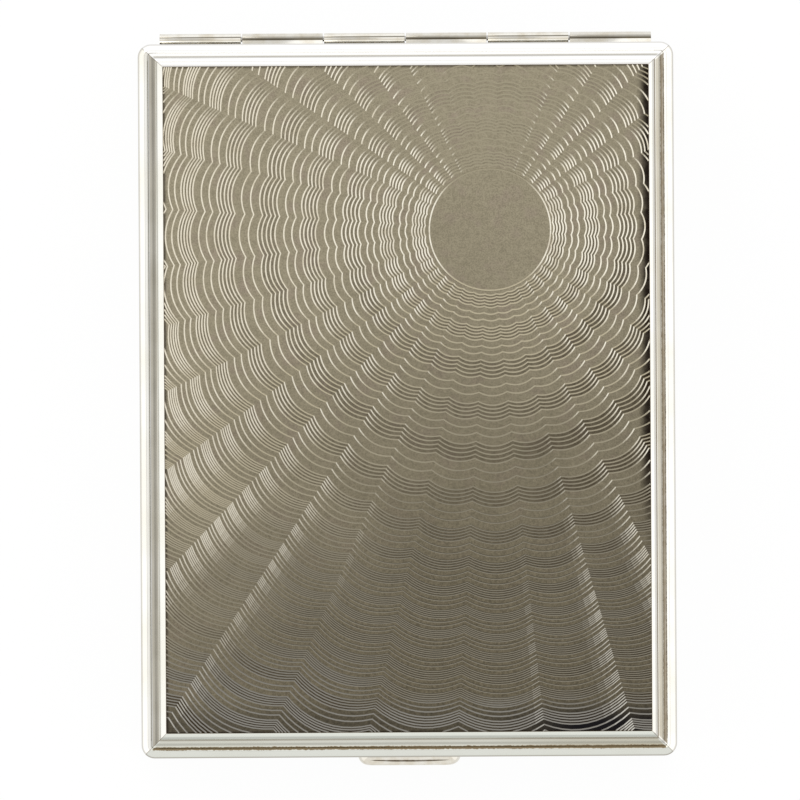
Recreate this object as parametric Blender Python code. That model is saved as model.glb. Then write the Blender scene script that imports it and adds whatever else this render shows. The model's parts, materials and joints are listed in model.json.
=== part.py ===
# Cigarette case: two moulded metal halves with engine-turned plates, a rolled hinge,
# a press catch and a sprung retaining arm in each half. The case is closed and lies on
# its back. +Z is up, the hinge is at +Y and the catch at -Y, and the origin is on the
# ground under the middle of the case. All sizes are in metres.

import math

import bmesh
import bpy
from mathutils import Matrix

# The closed case
CASE_WIDTH = 0.075
CASE_LENGTH = 0.1
CASE_THICKNESS = 0.021
CORNER_RADIUS = 0.0015
TIGHT_RADIUS = 0.00015  # what is left of a corner's radius inside the mitred mouldings
PARTING_GAP = 0.0002  # between the two halves
SEAT_GAP = 0.0001  # between pieces that lie on each other
CUT_OVERRUN = 0.001  # how far a cutter passes the metal that it cuts

# The moulded rim, from the case's edge inwards
WALL = 0.0006
OUTER_BEAD_WIDTH = 0.00145
GROOVE_WIDTH = 0.0011
INNER_BEAD_WIDTH = 0.00095
EDGE_DROP = 0.0008  # height over which the outer bead rounds into the side wall
LAND_WIDTH = 0.0002  # flat crest of the outer bead, which the case stands on
GROOVE_DEPTH = 0.0004
INNER_BEAD_SET_BACK = 0.00005  # of the inner bead's crest behind the outer one
RIM_SHEET = 0.0004
LIP_DROP_SHARE = 0.6  # how far down its sheet the inner bead's free edge is rounded

# The engraved plates and their plain round cartouche
PANEL_SHEET = 0.00045
PANEL_TUCK = 0.0007  # how far a plate reaches under the inner bead
CARTOUCHE_RADIUS = 0.0086
CARTOUCHE_RISE = 0.0001
CARTOUCHE_X = 0.0117
CARTOUCHE_Y = 0.0238

# The gilt linings
LINING_SHEET = 0.00035
LINING_FILLET = 0.0003

# The hinge
KNUCKLES = 6
KNUCKLE_LENGTH = 0.0115
KNUCKLE_GAP = 0.0002
PIN_RADIUS = 0.00035
PIN_FIT = 0.0001
LEAF_SHEET = 0.00035
LEAF_REACH = 0.0045  # of a leaf's strip down inside the wall, from the hinge's axis
LEAF_BEND = 0.0001
LEAF_STUB = 0.0001  # of the bend that stays on the strip between two knuckles
HINGE_STAND_OFF = 0.00078  # of the axis behind the back wall
CURL_GAP = 0.00015  # round the knuckles
CURL_SLIT = 0.00015  # between a rolled knuckle's free edge and its own tongue
NOTCH_GAP = 0.0002  # beside the hinge, in the walls' notch

# The press button of the catch, with its flange and hook
CATCH_WIDTH = 0.0143
CATCH_TIP_WIDTH = 0.011
CATCH_HEIGHT = 0.0034
CATCH_TIP_HEIGHT = 0.0022
CATCH_REACH = 0.0013  # of the button in front of the case
CATCH_DROP = 0.0029  # of the button's middle below the parting
CATCH_CORNER = 0.0013
CATCH_PLAY = 0.0002  # between the button and its window
CATCH_TRAVEL = 0.0009
THUMB_HOLLOW = 0.00035  # depth of the hollow in the button's face
THUMB_MARGIN = 0.0005  # of the face round the hollow
SHOULDER_SHARE = 0.45  # part of the reach over which the button keeps its full width
FLANGE_SHEET = 0.0005
FLANGE_LAP = 0.001  # of the flange behind the wall round the window
HOOK_WIDTH = 0.006
HOOK_SHEET = 0.0005
STEM_HEIGHT = 0.0018
NOSE_LENGTH = 0.00045
NOSE_HEIGHT = 0.0007
NOSE_FLAT_SHARE = 0.3  # of the nose's height that is upright at its tip
HOOK_CLEARANCE = 0.00015  # between the nose and the keeper's ledge, in height and in plan

# The keeper in the lid
KEEPER_SHEET = 0.0004
KEEPER_WIDTH = 0.013
KEEPER_HEIGHT = 0.0042
LEDGE_LIFT = 0.0005  # of the ledge above the parting
LEDGE_HEIGHT = 0.0005
LEDGE_LENGTH = 0.00045
KEEPER_RIVET_SPREAD = 0.009
KEEPER_RIVET_LIFT = 0.0028  # of the rivets above the foot of the keeper

# The bracket and the leaf spring behind the button
BRACKET_SHEET = 0.0004
BRACKET_HEIGHT = 0.0042
BRACKET_SIDE_GAP = 0.001  # beside the flange
TAB_LENGTH = 0.0042
LINING_NOTCH_GAP = 0.0005  # round the flange, in the lining
SPRING_SHEET = 0.0002
SPRING_WIDTH = 0.0024
SPRING_SIDE_GAP = 0.0019  # between the spring's ends and the bracket's sides

# Rivets
RIVET_RADIUS = 0.0004
RIVET_HEAD_RADIUS = 0.0009
RIVET_HEAD_HEIGHT = 0.00045
RIVET_CROWN_SHARE = 0.35  # of the head's radius left flat at its top

# The retaining arms
ARM_SHEET = 0.0004
ARM_LEG_WIDTH = 0.0022
ARM_BAR_WIDTH = 0.005
ARM_REACH = 0.046  # from the pivot to the middle of the bar
PIVOT_FROM_BACK = 0.0035  # from the lining's back wall
PIVOT_RISE = 0.0032  # above the lining's floor
PIVOT_RADIUS = 0.0005
PIVOT_FIT = 0.0001
PIVOT_HEAD_RADIUS = 0.001
PIVOT_HEAD_HEIGHT = 0.0005
EAR_RADIUS = 0.0014
EAR_FOOT_NEAR = 0.0026  # from the pivot to the near end of the ear's foot
EAR_FOOT_FAR = 0.0056
EAR_CORNER_SHARE = 0.25  # of a quarter turn, from the ear's underside round to its back
ARM_BRACKET_SHEET = 0.0004
ARM_BRACKET_BACK = 0.0022  # reach of the bracket's foot behind the pivot

# The torsion springs on the pivots
COIL_WIRE_RADIUS = 0.00015
COIL_GAP = 0.00015  # between the pin and the coil
COIL_PITCH = 0.00036
COIL_TURNS = 3
COIL_FRONT_LEG = 0.0055
COIL_BACK_LEG = 0.0019

# How finely curves are divided
CORNER_STEPS = 5
BEAD_STEPS = 5
FILLET_STEPS = 3
CURL_STEPS = 22
ROUND_SIDES = 24
CARTOUCHE_SIDES = 64
EAR_STEPS = 12
BOW_STEPS = 14
COIL_STEPS = 14

# Worked out from the sizes above
RIM_WIDTH = OUTER_BEAD_WIDTH + GROOVE_WIDTH + INNER_BEAD_WIDTH
HALF_HEIGHT = (CASE_THICKNESS - PARTING_GAP) / 2
LIP_UNDER = INNER_BEAD_SET_BACK + RIM_SHEET
GROOVE_UNDER = GROOVE_DEPTH + RIM_SHEET
PANEL_INSET = RIM_WIDTH - PANEL_TUCK
PANEL_FACE = LIP_UNDER + SEAT_GAP
PANEL_BACK = PANEL_FACE + PANEL_SHEET
FLOOR_UNDER = max(PANEL_BACK, GROOVE_UNDER) + SEAT_GAP
FLOOR_TOP = FLOOR_UNDER + LINING_SHEET
CURL_INNER = PIN_RADIUS + PIN_FIT
CURL_OUTER = CURL_INNER + LEAF_SHEET
HINGE_LENGTH = KNUCKLES * KNUCKLE_LENGTH
HINGE_Y = CASE_LENGTH / 2 + HINGE_STAND_OFF
HINGE_Z = CASE_THICKNESS / 2
LEAF_INSET = max(WALL + SEAT_GAP, CURL_OUTER + CURL_GAP - HINGE_STAND_OFF)
LINING_INSET = WALL + SEAT_GAP
LINING_BACK_INSET = LEAF_INSET + LEAF_SHEET + SEAT_GAP
LINING_FACE = LINING_INSET + LINING_SHEET  # inner face of the lining's front and sides
CATCH_Z = HINGE_Z - CATCH_DROP
FLANGE_FACE = WALL + SEAT_GAP
FLANGE_HALF_WIDTH = CATCH_WIDTH / 2 + CATCH_PLAY + FLANGE_LAP
FLANGE_HALF_HEIGHT = CATCH_HEIGHT / 2 + CATCH_PLAY + FLANGE_LAP / 2
KEEPER_FACE = LINING_FACE + SEAT_GAP
LEDGE_TIP = KEEPER_FACE + KEEPER_SHEET + LEDGE_LENGTH
LEDGE_LOW = HINGE_Z + LEDGE_LIFT
NOSE_TIP = LEDGE_TIP + HOOK_CLEARANCE
NOSE_LOW = LEDGE_LOW + LEDGE_HEIGHT + HOOK_CLEARANCE
HOOK_FRONT = NOSE_TIP + NOSE_LENGTH
HOOK_BACK = HOOK_FRONT + HOOK_SHEET
BRACKET_WELL = HOOK_BACK + CATCH_TRAVEL + SPRING_SHEET + 2 * SEAT_GAP
BRACKET_HALF_WIDTH = FLANGE_HALF_WIDTH + BRACKET_SIDE_GAP
CATCH_RIVET_X = BRACKET_HALF_WIDTH + BRACKET_SHEET + TAB_LENGTH / 2
PIVOT_Y = CASE_LENGTH / 2 - LINING_BACK_INSET - LINING_SHEET - PIVOT_FROM_BACK
PIVOT_HEIGHT = FLOOR_TOP + PIVOT_RISE
SEAT_HEIGHT = FLOOR_TOP + SEAT_GAP  # underside of what lies on a lining's floor
ARM_BRACKET_X = CASE_WIDTH / 2 - LINING_FACE - LINING_FILLET
ARM_OUTER_X = ARM_BRACKET_X - ARM_BRACKET_SHEET - SEAT_GAP
EAR_OUTER_X = ARM_OUTER_X - SEAT_GAP
COIL_RADIUS = PIVOT_RADIUS + COIL_GAP + COIL_WIRE_RADIUS
COIL_START_X = EAR_OUTER_X - ARM_SHEET - SEAT_GAP - COIL_WIRE_RADIUS
PIVOT_HEAD_X = COIL_START_X - COIL_TURNS * COIL_PITCH - COIL_WIRE_RADIUS - SEAT_GAP

# The world axes that an outline's two directions and then its length follow
ALONG_X = "YZX"
ALONG_Y = "XZY"
ALONG_Z = "XYZ"


def level(half, height):
    """World height of a place given above the outer face of the base or of the lid."""
    return CASE_THICKNESS - height if half == "lid" else height


def front(inward):
    """World Y of a place given inwards from the case's front face."""
    return inward - CASE_LENGTH / 2


def metal(name, colour, roughness):
    material = bpy.data.materials.new(name)
    material.use_nodes = True
    shader = material.node_tree.nodes["Principled BSDF"]
    shader.inputs["Base Color"].default_value = (*colour, 1)
    shader.inputs["Metallic"].default_value = 1
    shader.inputs["Roughness"].default_value = roughness
    return material


def polished_nickel(name):
    return metal(name, (0.78, 0.76, 0.71), 0.08)


def satin_nickel(name):
    return metal(name, (0.55, 0.52, 0.43), 0.32)


def gilt(name):
    return metal(name, (0.83, 0.62, 0.28), 0.22)


def spring_steel(name):
    return metal(name, (0.5, 0.5, 0.51), 0.25)


def solid(name, points, faces, finish):
    """A named object with its faces turned outwards."""
    mesh = bpy.data.meshes.new(name)
    mesh.from_pydata(points, [], faces)
    work = bmesh.new()
    work.from_mesh(mesh)
    bmesh.ops.recalc_face_normals(work, faces=work.faces)
    work.to_mesh(mesh)
    work.free()
    mesh.shade_smooth()
    mesh.set_sharp_from_angle(angle=math.pi / 6)
    mesh.materials.append(finish(name))
    item = bpy.data.objects.new(name, mesh)
    bpy.context.scene.collection.objects.link(item)
    return item


def loft(name, rings, finish, ring_of_rings=False):
    """Joins loops of equally many points. Ends are capped unless the last meets the first."""
    count = len(rings[0])
    points = [point for ring in rings for point in ring]
    starts = [number * count for number in range(len(rings))]
    pairs = list(zip(starts, starts[1:]))
    faces = []
    if ring_of_rings:
        pairs.append((starts[-1], starts[0]))
    else:
        faces.append(tuple(range(count)))
        faces.append(tuple(range(starts[-1], starts[-1] + count)))
    for first, second in pairs:
        for step in range(count):
            after = (step + 1) % count
            faces.append((first + step, first + after, second + after, second + step))
    return solid(name, points, faces, finish)


def placed(axes, across, up, along):
    """A point whose three values follow the named world axes."""
    values = dict(zip(axes, (across, up, along)))
    return values["X"], values["Y"], values["Z"]


def prism(name, outline, axes, low, high, finish):
    """Extrudes a flat outline between two places along the third of the axes."""
    rings = []
    for end in (low, high):
        rings.append([placed(axes, across, up, end) for across, up in outline])
    return loft(name, rings, finish)


def block(name, x_span, y_span, z_span, finish):
    left, right = x_span
    near, far = y_span
    outline = [(left, near), (right, near), (right, far), (left, far)]
    return prism(name, outline, ALONG_Z, z_span[0], z_span[1], finish)


def turned(name, profile, axes, centre, sides, finish):
    """Turns a profile of (place along the axis, radius) pairs. Both ends are flat."""
    rings = []
    for place, radius in profile:
        ring = []
        for side in range(sides):
            angle = 2 * math.pi * side / sides
            across = centre[0] + radius * math.cos(angle)
            up = centre[1] + radius * math.sin(angle)
            ring.append(placed(axes, across, up, place))
        rings.append(ring)
    return loft(name, rings, finish)


def combine(target, other, operation):
    """Joins the second solid to the first, or cuts it out, and removes it."""
    modifier = target.modifiers.new("combine", "BOOLEAN")
    modifier.operation = operation
    modifier.solver = "EXACT"
    modifier.object = other
    bpy.context.view_layer.update()
    graph = bpy.context.evaluated_depsgraph_get()
    result = bpy.data.meshes.new_from_object(target.evaluated_get(graph))
    target.modifiers.clear()
    plain = target.data
    target.data = result
    bpy.data.meshes.remove(plain)
    result.name = target.name
    bpy.data.objects.remove(other, do_unlink=True)
    result.shade_smooth()
    result.set_sharp_from_angle(angle=math.pi / 6)
    return target


def join(target, other):
    return combine(target, other, "UNION")


def cut(target, other):
    return combine(target, other, "DIFFERENCE")


def rounded_rectangle(half_across, half_up, radius):
    """Corner arcs, counter-clockwise from the first quadrant, about the middle."""
    centre_across = half_across - radius
    centre_up = half_up - radius
    points = []
    for quarter, (side, end) in enumerate(((1, 1), (-1, 1), (-1, -1), (1, -1))):
        for step in range(CORNER_STEPS + 1):
            angle = math.pi / 2 * (quarter + step / CORNER_STEPS)
            across = side * centre_across + radius * math.cos(angle)
            points.append((across, end * centre_up + radius * math.sin(angle)))
    return points


def shell_loop(half, inset, height, back_inset=None):
    """A loop at one inset from the case's outline and one height above the outer face."""
    back = CASE_LENGTH / 2 - (inset if back_inset is None else back_inset)
    middle = (front(inset) + back) / 2
    radius = max(CORNER_RADIUS - inset, TIGHT_RADIUS)
    outline = rounded_rectangle(CASE_WIDTH / 2 - inset, (back - front(inset)) / 2, radius)
    return [(across, up + middle, level(half, height)) for across, up in outline]


def rim_profile():
    """(inset, height) pairs round the sheet: wall, outer bead, groove, inner bead and back."""
    land_start = (OUTER_BEAD_WIDTH - LAND_WIDTH) / 2
    land_end = land_start + LAND_WIDTH
    groove_end = OUTER_BEAD_WIDTH + GROOVE_WIDTH
    inner_crest = groove_end + INNER_BEAD_WIDTH / 2
    bead_back = PANEL_INSET - SEAT_GAP
    quarter = [math.pi / 2 * step / BEAD_STEPS for step in range(BEAD_STEPS + 1)]
    points = [(0, HALF_HEIGHT)]
    for angle in quarter:
        points.append((land_start * (1 - math.cos(angle)), EDGE_DROP * (1 - math.sin(angle))))
    for angle in quarter:
        inset = land_end + (OUTER_BEAD_WIDTH - land_end) * math.sin(angle)
        points.append((inset, GROOVE_DEPTH * (1 - math.cos(angle))))
    for angle in quarter:
        inset = inner_crest - INNER_BEAD_WIDTH / 2 * math.cos(angle)
        rise = (GROOVE_DEPTH - INNER_BEAD_SET_BACK) * math.sin(angle)
        points.append((inset, GROOVE_DEPTH - rise))
    for angle in quarter[1:]:
        inset = inner_crest + INNER_BEAD_WIDTH / 2 * math.sin(angle)
        points.append((inset, INNER_BEAD_SET_BACK + LIP_DROP_SHARE * RIM_SHEET * (1 - math.cos(angle))))
    points.append((RIM_WIDTH, LIP_UNDER))
    points.append((bead_back, LIP_UNDER))
    points.append((bead_back, GROOVE_UNDER))
    points.append((WALL, GROOVE_UNDER))
    points.append((WALL, HALF_HEIGHT))
    return points


def frame(half):
    """Rim and side walls of one half, with the notch for the hinge."""
    rings = [shell_loop(half, inset, height) for inset, height in rim_profile()]
    item = loft(half + "_frame", rings, polished_nickel, ring_of_rings=True)
    notch_half = HINGE_LENGTH / 2 + NOTCH_GAP
    back = CASE_LENGTH / 2
    notch_low = HINGE_Z - CURL_OUTER - CURL_GAP
    heights = sorted((level(half, notch_low), level(half, HALF_HEIGHT + CUT_OVERRUN)))
    y_span = (back - WALL - CUT_OVERRUN, back + CUT_OVERRUN)
    return cut(item, block("notch", (-notch_half, notch_half), y_span, heights, polished_nickel))


def cut_catch_window(item):
    outline = rounded_rectangle(
        CATCH_WIDTH / 2 + CATCH_PLAY, CATCH_HEIGHT / 2 + CATCH_PLAY, CATCH_CORNER + CATCH_PLAY
    )
    outline = [(across, up + CATCH_Z) for across, up in outline]
    ends = (front(-CUT_OVERRUN), front(WALL + CUT_OVERRUN))
    return cut(item, prism("window", outline, ALONG_Y, ends[0], ends[1], polished_nickel))


def panel(half):
    """Plate behind the rim, with its plain round cartouche raised on the outer face."""
    rings = [shell_loop(half, PANEL_INSET, height) for height in (PANEL_FACE, PANEL_BACK)]
    item = loft(half + "_panel", rings, satin_nickel)
    profile = []
    for height in (PANEL_FACE - CARTOUCHE_RISE, PANEL_FACE + PANEL_SHEET / 2):
        profile.append((level(half, height), CARTOUCHE_RADIUS))
    centre = (CARTOUCHE_X, CARTOUCHE_Y)
    disc = turned("disc", profile, ALONG_Z, centre, CARTOUCHE_SIDES, satin_nickel)
    return join(item, disc)


def lining(half):
    """Tray with a rounded foot all round, open at the parting."""
    outer_fillet = LINING_FILLET + LINING_SHEET
    quarter = [math.pi / 2 * step / FILLET_STEPS for step in range(FILLET_STEPS + 1)]
    profile = []
    for angle in quarter:
        inward = outer_fillet * (1 - math.sin(angle))
        profile.append((inward, FLOOR_UNDER + outer_fillet * (1 - math.cos(angle))))
    profile.append((0, HALF_HEIGHT))
    profile.append((LINING_SHEET, HALF_HEIGHT))
    for angle in reversed(quarter):
        inward = LINING_SHEET + LINING_FILLET * (1 - math.sin(angle))
        profile.append((inward, FLOOR_TOP + LINING_FILLET * (1 - math.cos(angle))))
    rings = []
    for inward, height in profile:
        rings.append(shell_loop(half, LINING_INSET + inward, height, LINING_BACK_INSET + inward))
    return loft(half + "_lining", rings, gilt)


def hinge_leaf(half):
    """Strip inside the back wall whose top edge is bent out and rolled round the pin."""
    half_sheet = LEAF_SHEET / 2
    strip = -(HINGE_STAND_OFF + LEAF_INSET + half_sheet)
    roll = CURL_INNER + half_sheet
    bend = LEAF_BEND + half_sheet
    bend_y = strip + bend
    bend_z = -roll - bend
    path = [(strip, -LEAF_REACH, 1, 0)]
    for step in range(FILLET_STEPS + 1):
        angle = math.pi - math.pi / 2 * step / FILLET_STEPS
        across, up = math.cos(angle), math.sin(angle)
        path.append((bend_y + bend * across, bend_z + bend * up, -across, -up))
    start = -math.pi / 2
    end = math.pi + math.asin((CURL_INNER - CURL_SLIT) / CURL_OUTER)
    for step in range(CURL_STEPS + 1):
        angle = start + (end - start) * step / CURL_STEPS
        across, up = math.cos(angle), math.sin(angle)
        path.append((roll * across, roll * up, across, up))
    outer = [(y + half_sheet * turn_y, z + half_sheet * turn_z) for y, z, turn_y, turn_z in path]
    inner = [(y - half_sheet * turn_y, z - half_sheet * turn_z) for y, z, turn_y, turn_z in path]
    outline = [(HINGE_Y + y, level(half, HINGE_Z + z)) for y, z in outer + inner[::-1]]
    item = prism(
        half + "_hinge_leaf", outline, ALONG_X, -HINGE_LENGTH / 2, HINGE_LENGTH / 2, polished_nickel
    )
    first_gap = 1 if half == "base" else 0
    for number in range(first_gap, KNUCKLES, 2):
        low = number * KNUCKLE_LENGTH - HINGE_LENGTH / 2 - KNUCKLE_GAP / 2
        high = low + KNUCKLE_LENGTH + KNUCKLE_GAP
        if number == 0:
            low -= CUT_OVERRUN
        if number == KNUCKLES - 1:
            high += CUT_OVERRUN
        y_span = (HINGE_Y + bend_y + LEAF_STUB, HINGE_Y + CURL_OUTER + CUT_OVERRUN)
        reach = CURL_OUTER + CUT_OVERRUN
        z_span = (HINGE_Z - reach, HINGE_Z + reach)
        cut(item, block("gap", (low, high), y_span, z_span, polished_nickel))
    return item


def hinge_pin():
    end = (HINGE_LENGTH - KNUCKLE_GAP) / 2
    profile = [(-end, PIN_RADIUS), (end, PIN_RADIUS)]
    return turned("hinge_pin", profile, ALONG_X, (HINGE_Y, HINGE_Z), ROUND_SIDES, spring_steel)


def catch_button():
    """Thumb piece with a hollowed face, its retaining flange and the hook in one piece."""
    middle_sheet = FLANGE_FACE + FLANGE_SHEET / 2
    tip_half_width = CATCH_TIP_WIDTH / 2
    tip_half_height = CATCH_TIP_HEIGHT / 2
    tip_corner = CATCH_CORNER * CATCH_TIP_HEIGHT / CATCH_HEIGHT
    shoulder = -CATCH_REACH * SHOULDER_SHARE
    steps = (
        (middle_sheet, CATCH_WIDTH / 2, CATCH_HEIGHT / 2, CATCH_CORNER),
        (shoulder, CATCH_WIDTH / 2, CATCH_HEIGHT / 2, CATCH_CORNER),
        (-CATCH_REACH, tip_half_width, tip_half_height, tip_corner),
        (
            THUMB_HOLLOW - CATCH_REACH,
            tip_half_width - THUMB_MARGIN,
            tip_half_height - THUMB_MARGIN,
            tip_corner - THUMB_MARGIN,
        ),
    )
    rings = []
    for inward, half_width, half_height, corner in steps:
        outline = rounded_rectangle(half_width, half_height, max(corner, TIGHT_RADIUS))
        rings.append([(across, front(inward), up + CATCH_Z) for across, up in outline])
    item = loft("catch_button", rings, polished_nickel)
    flange_outline = rounded_rectangle(FLANGE_HALF_WIDTH, FLANGE_HALF_HEIGHT, CATCH_CORNER)
    flange_outline = [(across, up + CATCH_Z) for across, up in flange_outline]
    ends = (front(FLANGE_FACE), front(FLANGE_FACE + FLANGE_SHEET))
    join(item, prism("flange", flange_outline, ALONG_Y, ends[0], ends[1], polished_nickel))
    stem_low = CATCH_Z - STEM_HEIGHT / 2
    stem_high = CATCH_Z + STEM_HEIGHT / 2
    nose_high = NOSE_LOW + NOSE_HEIGHT
    hook = (
        (middle_sheet, stem_low),
        (HOOK_BACK, stem_low),
        (HOOK_BACK, nose_high),
        (HOOK_FRONT, nose_high),
        (NOSE_TIP, NOSE_LOW + NOSE_HEIGHT * NOSE_FLAT_SHARE),
        (NOSE_TIP, NOSE_LOW),
        (HOOK_FRONT, NOSE_LOW),
        (HOOK_FRONT, stem_high),
        (middle_sheet, stem_high),
    )
    outline = [(front(inward), height) for inward, height in hook]
    return join(item, prism("hook", outline, ALONG_X, -HOOK_WIDTH / 2, HOOK_WIDTH / 2, polished_nickel))


def cut_lining_notch(item):
    """Makes room for the button's flange in the front wall of the base lining."""
    half_width = FLANGE_HALF_WIDTH + LINING_NOTCH_GAP
    low = CATCH_Z - FLANGE_HALF_HEIGHT - LINING_NOTCH_GAP
    y_span = (front(LINING_INSET - CUT_OVERRUN), front(LINING_FACE + CUT_OVERRUN))
    z_span = (low, HALF_HEIGHT + CUT_OVERRUN)
    return cut(item, block("notch", (-half_width, half_width), y_span, z_span, gilt))


def drill(item, across, up, low, high, radius, axes):
    """Cuts a round hole along the third of the axes."""
    profile = [(low - CUT_OVERRUN, radius), (high + CUT_OVERRUN, radius)]
    return cut(item, turned("drill", profile, axes, (across, up), ROUND_SIDES, gilt))


def catch_bracket():
    """Channel across the back of the button, with a tab at each end."""
    side = BRACKET_HALF_WIDTH + BRACKET_SHEET
    tab = side + TAB_LENGTH
    near = KEEPER_FACE
    far = KEEPER_FACE + BRACKET_SHEET
    right = (
        (BRACKET_HALF_WIDTH, BRACKET_WELL),
        (BRACKET_HALF_WIDTH, near),
        (tab, near),
        (tab, far),
        (side, far),
        (side, BRACKET_WELL + BRACKET_SHEET),
    )
    left = [(-across, inward) for across, inward in reversed(right)]
    outline = [(across, front(inward)) for across, inward in list(right) + left]
    low = CATCH_Z - BRACKET_HEIGHT / 2
    item = prism("catch_bracket", outline, ALONG_Z, low, low + BRACKET_HEIGHT, spring_steel)
    for across in (-CATCH_RIVET_X, CATCH_RIVET_X):
        drill(item, across, CATCH_Z, front(near), front(far), RIVET_RADIUS + SEAT_GAP, ALONG_Y)
    return item


def catch_spring():
    """Bowed strip between the hook's back and the bracket."""
    half_length = BRACKET_HALF_WIDTH - SPRING_SIDE_GAP
    middle = HOOK_BACK + SEAT_GAP + SPRING_SHEET / 2
    bow = BRACKET_WELL - SEAT_GAP - SPRING_SHEET / 2 - middle
    line = []
    for step in range(BOW_STEPS + 1):
        share = 2 * step / BOW_STEPS - 1
        line.append((half_length * share, front(middle + bow * share * share)))
    outline = [(across, up - SPRING_SHEET / 2) for across, up in line]
    outline += [(across, up + SPRING_SHEET / 2) for across, up in reversed(line)]
    low = CATCH_Z - SPRING_WIDTH / 2
    return prism("catch_spring", outline, ALONG_Z, low, low + SPRING_WIDTH, spring_steel)


def keeper():
    """Plate with a ledge along its foot, fixed to the front wall of the lid's lining."""
    face = KEEPER_FACE + KEEPER_SHEET
    points = (
        (KEEPER_FACE, LEDGE_LOW),
        (LEDGE_TIP, LEDGE_LOW),
        (LEDGE_TIP, LEDGE_LOW + LEDGE_HEIGHT),
        (face, LEDGE_LOW + LEDGE_HEIGHT),
        (face, LEDGE_LOW + KEEPER_HEIGHT),
        (KEEPER_FACE, LEDGE_LOW + KEEPER_HEIGHT),
    )
    outline = [(front(inward), height) for inward, height in points]
    item = prism("catch_keeper", outline, ALONG_X, -KEEPER_WIDTH / 2, KEEPER_WIDTH / 2, spring_steel)
    for across in (-KEEPER_RIVET_SPREAD / 2, KEEPER_RIVET_SPREAD / 2):
        up = LEDGE_LOW + KEEPER_RIVET_LIFT
        drill(item, across, up, front(KEEPER_FACE), front(face), RIVET_RADIUS + SEAT_GAP, ALONG_Y)
    return item


def rivet(name, across, up, fixed_sheet):
    """Domed rivet through a sheet that lies on the front wall of a lining."""
    under_head = KEEPER_FACE + fixed_sheet + SEAT_GAP
    profile = [
        (front(LINING_INSET), RIVET_RADIUS),
        (front(under_head), RIVET_RADIUS),
        (front(under_head), RIVET_HEAD_RADIUS),
    ]
    crown = math.acos(RIVET_CROWN_SHARE)
    for step in range(1, BEAD_STEPS + 1):
        angle = crown * step / BEAD_STEPS
        rise = RIVET_HEAD_HEIGHT * math.sin(angle) / math.sin(crown)
        profile.append((front(under_head + rise), RIVET_HEAD_RADIUS * math.cos(angle)))
    return turned(name, profile, ALONG_Y, (across, up), ROUND_SIDES, spring_steel)


def drill_lining(item, spread, up):
    ends = (front(LINING_INSET), front(LINING_FACE))
    for across in (-spread, spread):
        drill(item, across, up, ends[0], ends[1], RIVET_RADIUS + SEAT_GAP, ALONG_Y)
    return item


def arc(radius, start, end, steps):
    points = []
    for step in range(steps + 1):
        angle = start + (end - start) * step / steps
        points.append((radius * math.cos(angle), radius * math.sin(angle)))
    return points


def arm(half):
    """Sheet frame that lies on the tray, with an ear bent up to the pivot on each side."""
    bar_low = PIVOT_Y - ARM_REACH - ARM_BAR_WIDTH / 2
    bar_high = bar_low + ARM_BAR_WIDTH
    leg_end = PIVOT_Y - EAR_FOOT_NEAR
    leg_inner = ARM_OUTER_X - ARM_LEG_WIDTH
    outer = [(ARM_OUTER_X, bar_low), (ARM_OUTER_X, leg_end)]
    right = outer + [(leg_inner, leg_end), (leg_inner, bar_high)]
    left = [(-across, up) for across, up in reversed(right)]
    heights = [level(half, height) for height in (SEAT_HEIGHT, SEAT_HEIGHT + ARM_SHEET)]
    item = prism(half + "_arm", right + left, ALONG_Z, heights[0], heights[1], gilt)
    foot = SEAT_HEIGHT + ARM_SHEET / 2 - PIVOT_HEIGHT
    ear = arc(EAR_RADIUS, -math.pi / 2 * (1 - EAR_CORNER_SHARE), math.pi, EAR_STEPS)
    ear += [(-EAR_FOOT_FAR, foot), (-EAR_FOOT_NEAR, foot)]
    outline = [(PIVOT_Y + across, level(half, PIVOT_HEIGHT + up)) for across, up in ear]
    for side in (-1, 1):
        ends = (side * EAR_OUTER_X, side * (EAR_OUTER_X - ARM_SHEET))
        join(item, prism("ear", outline, ALONG_X, ends[0], ends[1], gilt))
        centre = (PIVOT_Y, level(half, PIVOT_HEIGHT))
        low, high = sorted(ends)
        drill(item, centre[0], centre[1], low, high, PIVOT_RADIUS + PIVOT_FIT, ALONG_X)
    return item


def arm_bracket(half, side, name):
    """Upright ear against the side of the lining, on a foot that lies on its floor."""
    foot_low = SEAT_HEIGHT - PIVOT_HEIGHT
    foot_high = foot_low + ARM_BRACKET_SHEET
    foot_middle = foot_low + ARM_BRACKET_SHEET / 2
    upright = arc(EAR_RADIUS, 0, math.pi, EAR_STEPS)
    upright += [(-EAR_RADIUS, foot_middle), (ARM_BRACKET_BACK, foot_middle)]
    outline = [(PIVOT_Y + across, level(half, PIVOT_HEIGHT + up)) for across, up in upright]
    inner_x = ARM_BRACKET_X - ARM_BRACKET_SHEET
    item = prism(name, outline, ALONG_X, side * ARM_BRACKET_X, side * inner_x, gilt)
    foot_inner = PIVOT_HEAD_X - PIVOT_HEAD_HEIGHT
    foot_x = sorted((side * (ARM_BRACKET_X - ARM_BRACKET_SHEET / 2), side * foot_inner))
    foot_y = (PIVOT_Y - EAR_RADIUS + SEAT_GAP, PIVOT_Y + ARM_BRACKET_BACK - SEAT_GAP)
    foot_z = sorted(level(half, PIVOT_HEIGHT + up) for up in (foot_low, foot_high))
    join(item, block("foot", foot_x, foot_y, foot_z, gilt))
    low, high = sorted((side * ARM_BRACKET_X, side * inner_x))
    return drill(item, PIVOT_Y, level(half, PIVOT_HEIGHT), low, high, PIVOT_RADIUS + PIVOT_FIT, ALONG_X)


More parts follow.
